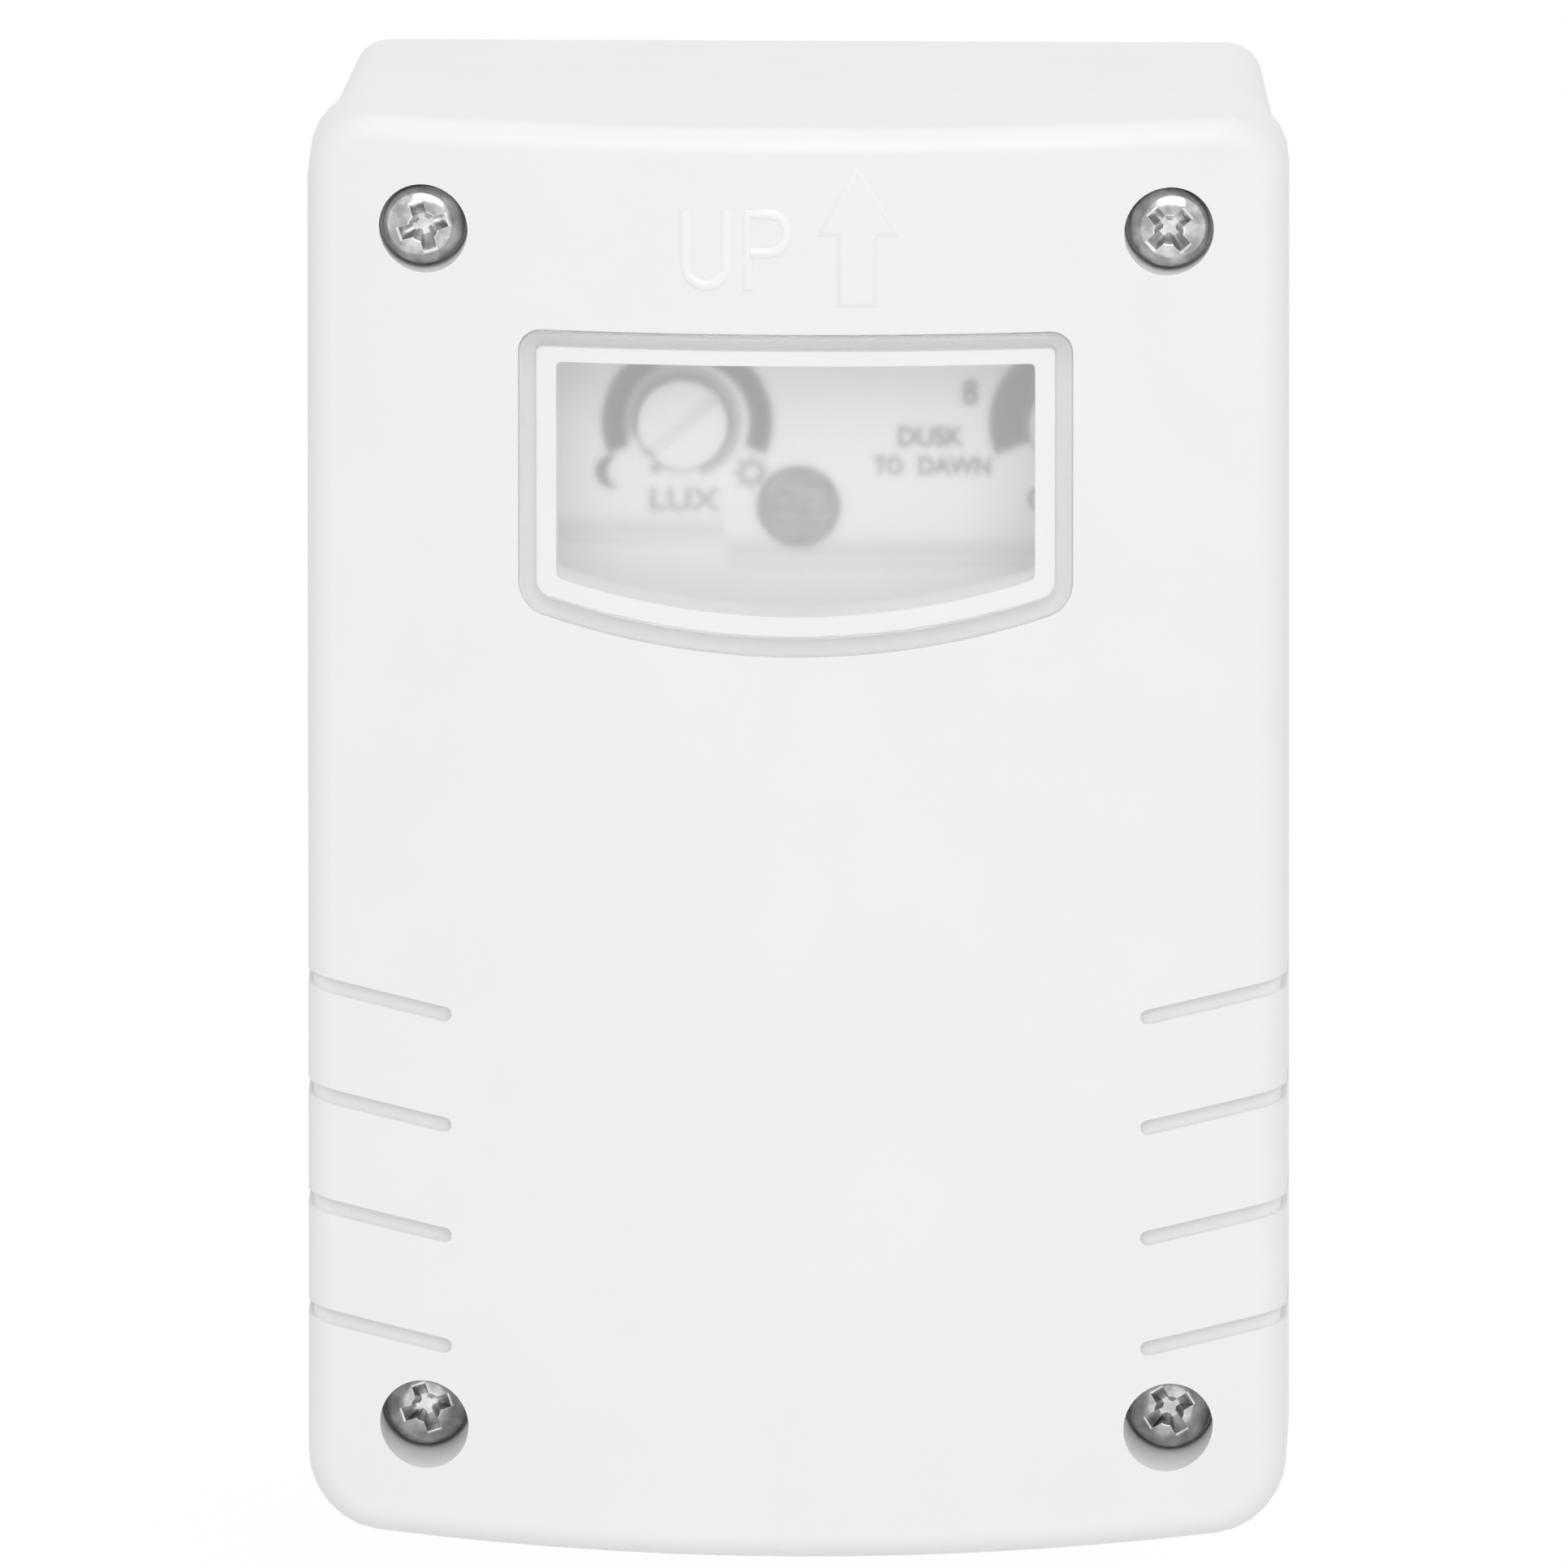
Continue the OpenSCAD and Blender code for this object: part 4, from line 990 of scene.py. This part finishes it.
class TWILIGHT_OT_screws(bpy.types.Operator):
    """Set the four cross-head screws in their wells"""

    bl_idname = "twilight.screws"
    bl_label = "Cover screws"

    def execute(self, context):
        s, steel = group("screws"), group("colours").steel
        boxes = screw_places()
        low, high = boxes[0]
        mesh = screw_mesh((high[0] - low[0]) / 2, high[1] - low[1])
        shape = bpy.data.objects.new("cover_screw", mesh)
        points = raw_mesh("screw_seats", [
            ((a[0] + b[0]) / 2, a[1] + s.head_height, (a[2] + b[2]) / 2) for a, b in boxes])
        turns = points.attributes.new("turn", "FLOAT", "POINT")
        turns.data.foreach_set("value", np.radians(SCREW_TURNS).astype(np.float32))
        # Steel with painted reflections, and painted highlights and shade from the screw's rings
        finish = plated("plated_steel", steel, "painted_shine")
        row = grown(screw_tree(), "screw_seats", points, Screw=shape, Finish=finish)
        piece("screw_set", row, finish, stands_for=["cover_screws"])
        bpy.data.objects.remove(shape)
        plain = plated("plain_steel", steel)
        dress(plain, "inner_cover_screws", "board_screws", "terminal_screws")
        return {"FINISHED"}


# Dials, sensor and words behind the window

# How much the strokes of the words are thickened, as a share of the letters' size
WORD_WEIGHT = 0.031
# Words and numerals with the low and high corner of their boxes, in millimetres across and up
WORDS = (
    ("DUSK", (6.9, 25.4), (11.5, 26.85)), ("TO", (5.2, 23.4), (7.25, 24.7)),
    ("DAWN", (8.3, 23.4), (13.3, 24.7)), ("8", (11.35, 28.4), (12.45, 30.2)),
    ("6", (13.6, 31.7), (14.7, 33.4)), ("0", (15.9, 20.9), (16.9, 22.5)),
)
DIAL_NAME = ("LUX", (-10.3, 20.75), (-5.35, 22.4))
# Arcs of the moon, and of the dot at the start of the light dial
MOON_OUTER = ((-12.85, 23.55), (1.2, 1.2), 75, 285, 15)
MOON_INNER = ((-12.0, 23.55), (1.24, 1.24), 118, 242, 15)
DOT = ((-9.85, 23.8), (0.36, 0.36), 0, 330, 12)
# Sun: middle, radii of its ring, steps round it, rays, and one ray's corners, out and aside
SUN, SUN_RADII, SUN_STEPS, RAYS = (-3.25, 23.5), (0.95, 0.5), 25, 8
RAY = ((1.06, -0.14), (1.36, -0.1), (1.36, 0.1), (1.06, 0.14))


def word_shape(text, low, high):
    """A word fitted into a box on the sheet, as flat points and faces."""
    curve = bpy.data.curves.new("word", "FONT")
    curve.body, curve.offset = text, WORD_WEIGHT
    mesh = baked(linked("word", curve))
    flat = np.array([v.co for v in mesh.vertices])[:, :2]
    start, size = flat.min(0), flat.max(0) - flat.min(0)
    flat = (flat - start) / size * np.subtract(high, low) + low
    return flat, [tuple(p.vertices) for p in mesh.polygons]


def strip(outer, inner):
    """Flat strip between two rows of as many points."""
    n = len(outer)
    return outer + inner, [(i, i + 1, n + i + 1, n + i) for i in range(n - 1)]


def word_shapes():
    """Moon, words and numerals of the print as flat points and faces."""
    moon = strip(arc_points(*MOON_OUTER), arc_points(*MOON_INNER))
    return [moon] + [word_shape(*word) for word in WORDS]


def sign_shapes():
    """Sun, dot and name of the light dial as flat points and faces."""
    outer, inner = (arc_points(SUN, (r, r), 0, 360, SUN_STEPS) for r in SUN_RADII)
    dot = arc_points(*DOT)
    shapes = [strip(outer, inner), (dot, [tuple(range(len(dot)))]), word_shape(*DIAL_NAME)]
    for turn in np.linspace(0, math.tau, RAYS, endpoint=False):
        c, s = math.cos(turn), math.sin(turn)
        ray = [(SUN[0] + c * a - s * b, SUN[1] + s * a + c * b) for a, b in RAY]
        shapes.append((ray, [tuple(range(len(ray)))]))
    return shapes


def print_mesh(shapes):
    """Flat shapes as one thin layer on the front of the sheet."""
    points, faces = [], []
    for flat, polygons in shapes:
        start = len(points)
        points += [(x * MM, SHEET_LOW.y, z * MM) for x, z in flat]
        faces += [tuple(start + i for i in polygon) for polygon in polygons]
    mesh = raw_mesh("dial_layer", points, faces=faces)
    shape = bmesh.new()
    shape.from_mesh(mesh)
    bmesh.ops.remove_doubles(shape, verts=shape.verts, dist=PRINT_MERGE)
    for face in shape.faces:
        if face.normal.y > 0:
            face.normal_flip()
    made = bmesh.ops.extrude_face_region(shape, geom=shape.faces[:], use_keep_orig=True)
    raised = [v for v in made["geom"] if isinstance(v, bmesh.types.BMVert)]
    bmesh.ops.translate(shape, verts=raised, vec=(0, -group("dials").layer, 0))
    bmesh.ops.recalc_face_normals(shape, faces=shape.faces)
    shape.to_mesh(mesh)
    shape.free()
    return mesh


class TWILIGHT_OT_dials(bpy.types.Operator):
    """Print the dial sheet and finish the knobs and the light sensor"""

    bl_idname = "twilight.dials"
    bl_label = "Dials and sensor"

    def execute(self, context):
        c = group("colours")
        dress(printed_sheet(), "dial_sheet")
        layers = (("dial_words", c.word_ink, word_shapes), ("dial_signs", c.sign_ink, sign_shapes))
        for name, tint, shapes in layers:
            ink = moulded(name + "_ink", tint, rough=0.6, patch=2 * MM, spread=0.08)
            piece(name, print_mesh(shapes()), ink)
        knob = moulded("knob_white", c.knob, rough=0.38, patch=3 * MM)
        for name in ("lux_knob", "timer_knob"):
            skinned(name + "_head", name, knob, body=name)
        skinned("sensor_cell", "light_sensor", sensor_face())
        # The inner cover takes the housing white painted lighter: painted light that stands in for
        # the light inside the window
        inner = moulded("inner_white", shade(c.white, 1.125), rough=0.45, patch=6 * MM)
        skinned("inner_shell", "inner_cover", inner)
        dress(inner, "sensor_spacer")
        return {"FINISHED"}


# Board and rubber parts

# Finish, colour, roughness, size and strength of its cloudiness, and the solids that take it
PART_FINISHES = (
    ("part_black", (0.03, 0.03, 0.034), 0.5, 2 * MM, 0.2,
     ("relay", "control_chip", "rectifier_diodes")),
    ("part_blue", (0.05, 0.14, 0.45), 0.45, 2 * MM, 0.1,
     ("lux_trimmer", "timer_trimmer", "surge_absorber")),
    ("part_ochre", (0.62, 0.38, 0.08), 0.35, 3 * MM, 0.1, ("film_capacitor",)),
    ("can_sleeve", (0.02, 0.03, 0.11), 0.25, 3 * MM, 0.2, ("smoothing_capacitor",)),
    ("part_tan", (0.58, 0.43, 0.26), 0.45, 1 * MM, 0.12, ("resistors",)),
    ("part_ivory", (0.8, 0.77, 0.66), 0.45, 4 * MM, 0.01, ("terminal_block",)),
)
RESIST, BRASS = (0.045, 0.22, 0.085), (0.72, 0.53, 0.24)


class TWILIGHT_OT_inside(bpy.types.Operator):
    """Finish the board, the parts on it and the rubber seals"""

    bl_idname = "twilight.inside"
    bl_label = "Board and seals"

    def execute(self, context):
        dress(board_resist("board_green", RESIST), "circuit_board")
        for name, tint, rough, patch, spread, nodes in PART_FINISHES:
            dress(moulded(name, tint, rough, patch, spread), *nodes)
        dress(plated("clamp_brass", BRASS), "terminal_clamps")
        rubber = rubbery("soft_rubber", group("colours").rubber)
        dress(rubber, "cover_seal")
        skinned("grommet_pair", "cable_grommets", rubber)
        return {"FINISHED"}


# Stage

# Half the floor's width, and greys of the floor: as it bounces light, and as it is seen
FLOOR_REACH = 12.0
BOUNCE_LOW, BOUNCE_HIGH, SEEN_BASE, SEEN_GLOW = ((g, g, g) for g in (0.88, 0.9, 0.2, 0.83))
BLACK, WHITE = (0.0, 0.0, 0.0), (1.0, 1.0, 1.0)
# Point that the camera looks at, and how far the picture is moved aside and down
AIM, ASIDE, DOWN = Vector((0, -22 * MM, 0)), 1.224 * MM, 0.586 * MM
FILM_WIDTH, FAR = 36.0, 100.0


def seen_as_white(f):
    """1 for rays that show the background: from the camera, in metal and through the window."""
    camera, glossy, through = f.outputs(
        "ShaderNodeLightPath", "Is Camera Ray", "Is Glossy Ray", "Is Transmission Ray")
    return (camera + glossy + through).least(1.0)


def floor_finish():
    """Pale floor: bounces light evenly, shows white, keeps a faint shadow, open from below."""
    f = Finish("pale_floor")
    seen, cloud = seen_as_white(f), f.noise(0.4)
    bounce = f.blend(cloud, BOUNCE_LOW, BOUNCE_HIGH)
    top = f.principled(
        Base_Color=f.blend(seen, bounce, SEEN_BASE), Roughness=0.9 + cloud * 0.05,
        Emission_Color=f.blend(seen, BLACK, SEEN_GLOW), Emission_Strength=1.0,
        Specular_IOR_Level=0.0)
    under = f.node("ShaderNodeNewGeometry", output="Backfacing")
    return f.close_open(under, top)


def lamp(name, power, width, depth, place):
    """Area lamp that points at the switch."""
    data = bpy.data.lights.new(name, "AREA")
    data.shape, data.size, data.size_y, data.energy = "RECTANGLE", width, depth, power
    obj = linked(name, data)
    obj.location = place
    obj.rotation_euler = (-Vector(place)).to_track_quat("-Z", "Y").to_euler()


def place_camera():
    """Camera at the photograph's angle; the aim is moved aside instead of shifting the lens."""
    s = group("stage")
    a, e, turn = s.azimuth, s.elevation, s.roll
    back = Vector((math.sin(a) * math.cos(e), -math.cos(a) * math.cos(e), math.sin(e)))
    right = Vector((math.cos(a), math.sin(a), 0))
    up = back.cross(right)
    across = right * math.cos(turn) - up * math.sin(turn)
    upward = right * math.sin(turn) + up * math.cos(turn)
    data = bpy.data.cameras.new("camera")
    data.sensor_width, data.lens, data.clip_end = FILM_WIDTH, s.focal, FAR
    camera = linked("camera", data)
    middle = AIM - across * ASIDE - upward * DOWN
    turned = Matrix((across, upward, back)).transposed().to_4x4()
    camera.matrix_world = Matrix.Translation(middle + back * s.distance) @ turned
    bpy.context.scene.camera = camera


class TWILIGHT_OT_stage(bpy.types.Operator):
    """Lay the pale floor, light it and set the camera"""

    bl_idname = "twilight.stage"
    bl_label = "Stage"

    def execute(self, context):
        s = group("stage")
        level = cad_box[0].z - s.drop
        signs = ((-1, -1), (1, -1), (1, 1), (-1, 1))
        corners = [(x * FLOOR_REACH, y * FLOOR_REACH, level) for x, y in signs]
        mesh = raw_mesh("floor", corners, faces=[(0, 1, 2, 3)])
        floor = linked("floor", mesh)
        mesh.materials.append(floor_finish())
        world = bpy.data.worlds.new("even_sky")
        context.scene.world = world
        f = Finish("even_sky", world)
        sky = f.blend(seen_as_white(f), (s.sky, s.sky, s.sky), WHITE)
        f.close(f.node("ShaderNodeBackground", inputs={"Color": sky}), "World")
        lamp("key", s.key, width=1.6, depth=1.2, place=(0.15, -1.5, 1.15))
        lamp("overhead", s.top, width=1.2, depth=1.2, place=(0, 0.1, 1.6))
        context.scene.view_settings.view_transform = "Standard"
        place_camera()
        return {"FINISHED"}


OPERATORS = (
    TWILIGHT_OT_stage, TWILIGHT_OT_housing, TWILIGHT_OT_signs, TWILIGHT_OT_window,
    TWILIGHT_OT_screws, TWILIGHT_OT_dials, TWILIGHT_OT_inside,
)


class TWILIGHT_PT_switch(bpy.types.Panel):
    """Sizes, colours and steps of the switch"""

    bl_idname = "TWILIGHT_PT_switch"
    bl_label = "Photocell switch"
    bl_space_type = "VIEW_3D"
    bl_region_type = "UI"
    bl_category = "Switch"

    def draw(self, context):
        for operator in OPERATORS:
            self.layout.operator(operator.bl_idname)
        for name in GROUPS:
            box = self.layout.box()
            settings = group(name)
            for key in settings.__annotations__:
                box.prop(settings, key)


CLASSES = (*GROUPS.values(), *OPERATORS, TWILIGHT_PT_switch)


def register():
    for cls in CLASSES:
        bpy.utils.register_class(cls)
    for name, cls in GROUPS.items():
        setattr(bpy.types.Scene, "switch_" + name, PointerProperty(type=cls))


def unregister():
    for name in GROUPS:
        delattr(bpy.types.Scene, "switch_" + name)
    for cls in reversed(CLASSES):
        bpy.utils.unregister_class(cls)


def main():
    register()
    bpy.ops.twilight.stage()
    bpy.ops.twilight.housing()
    bpy.ops.twilight.signs()
    bpy.ops.twilight.window()
    bpy.ops.twilight.screws()
    bpy.ops.twilight.dials()
    bpy.ops.twilight.inside()
    bpy.context.view_layer.update()


if __name__ == "__main__":
    main()
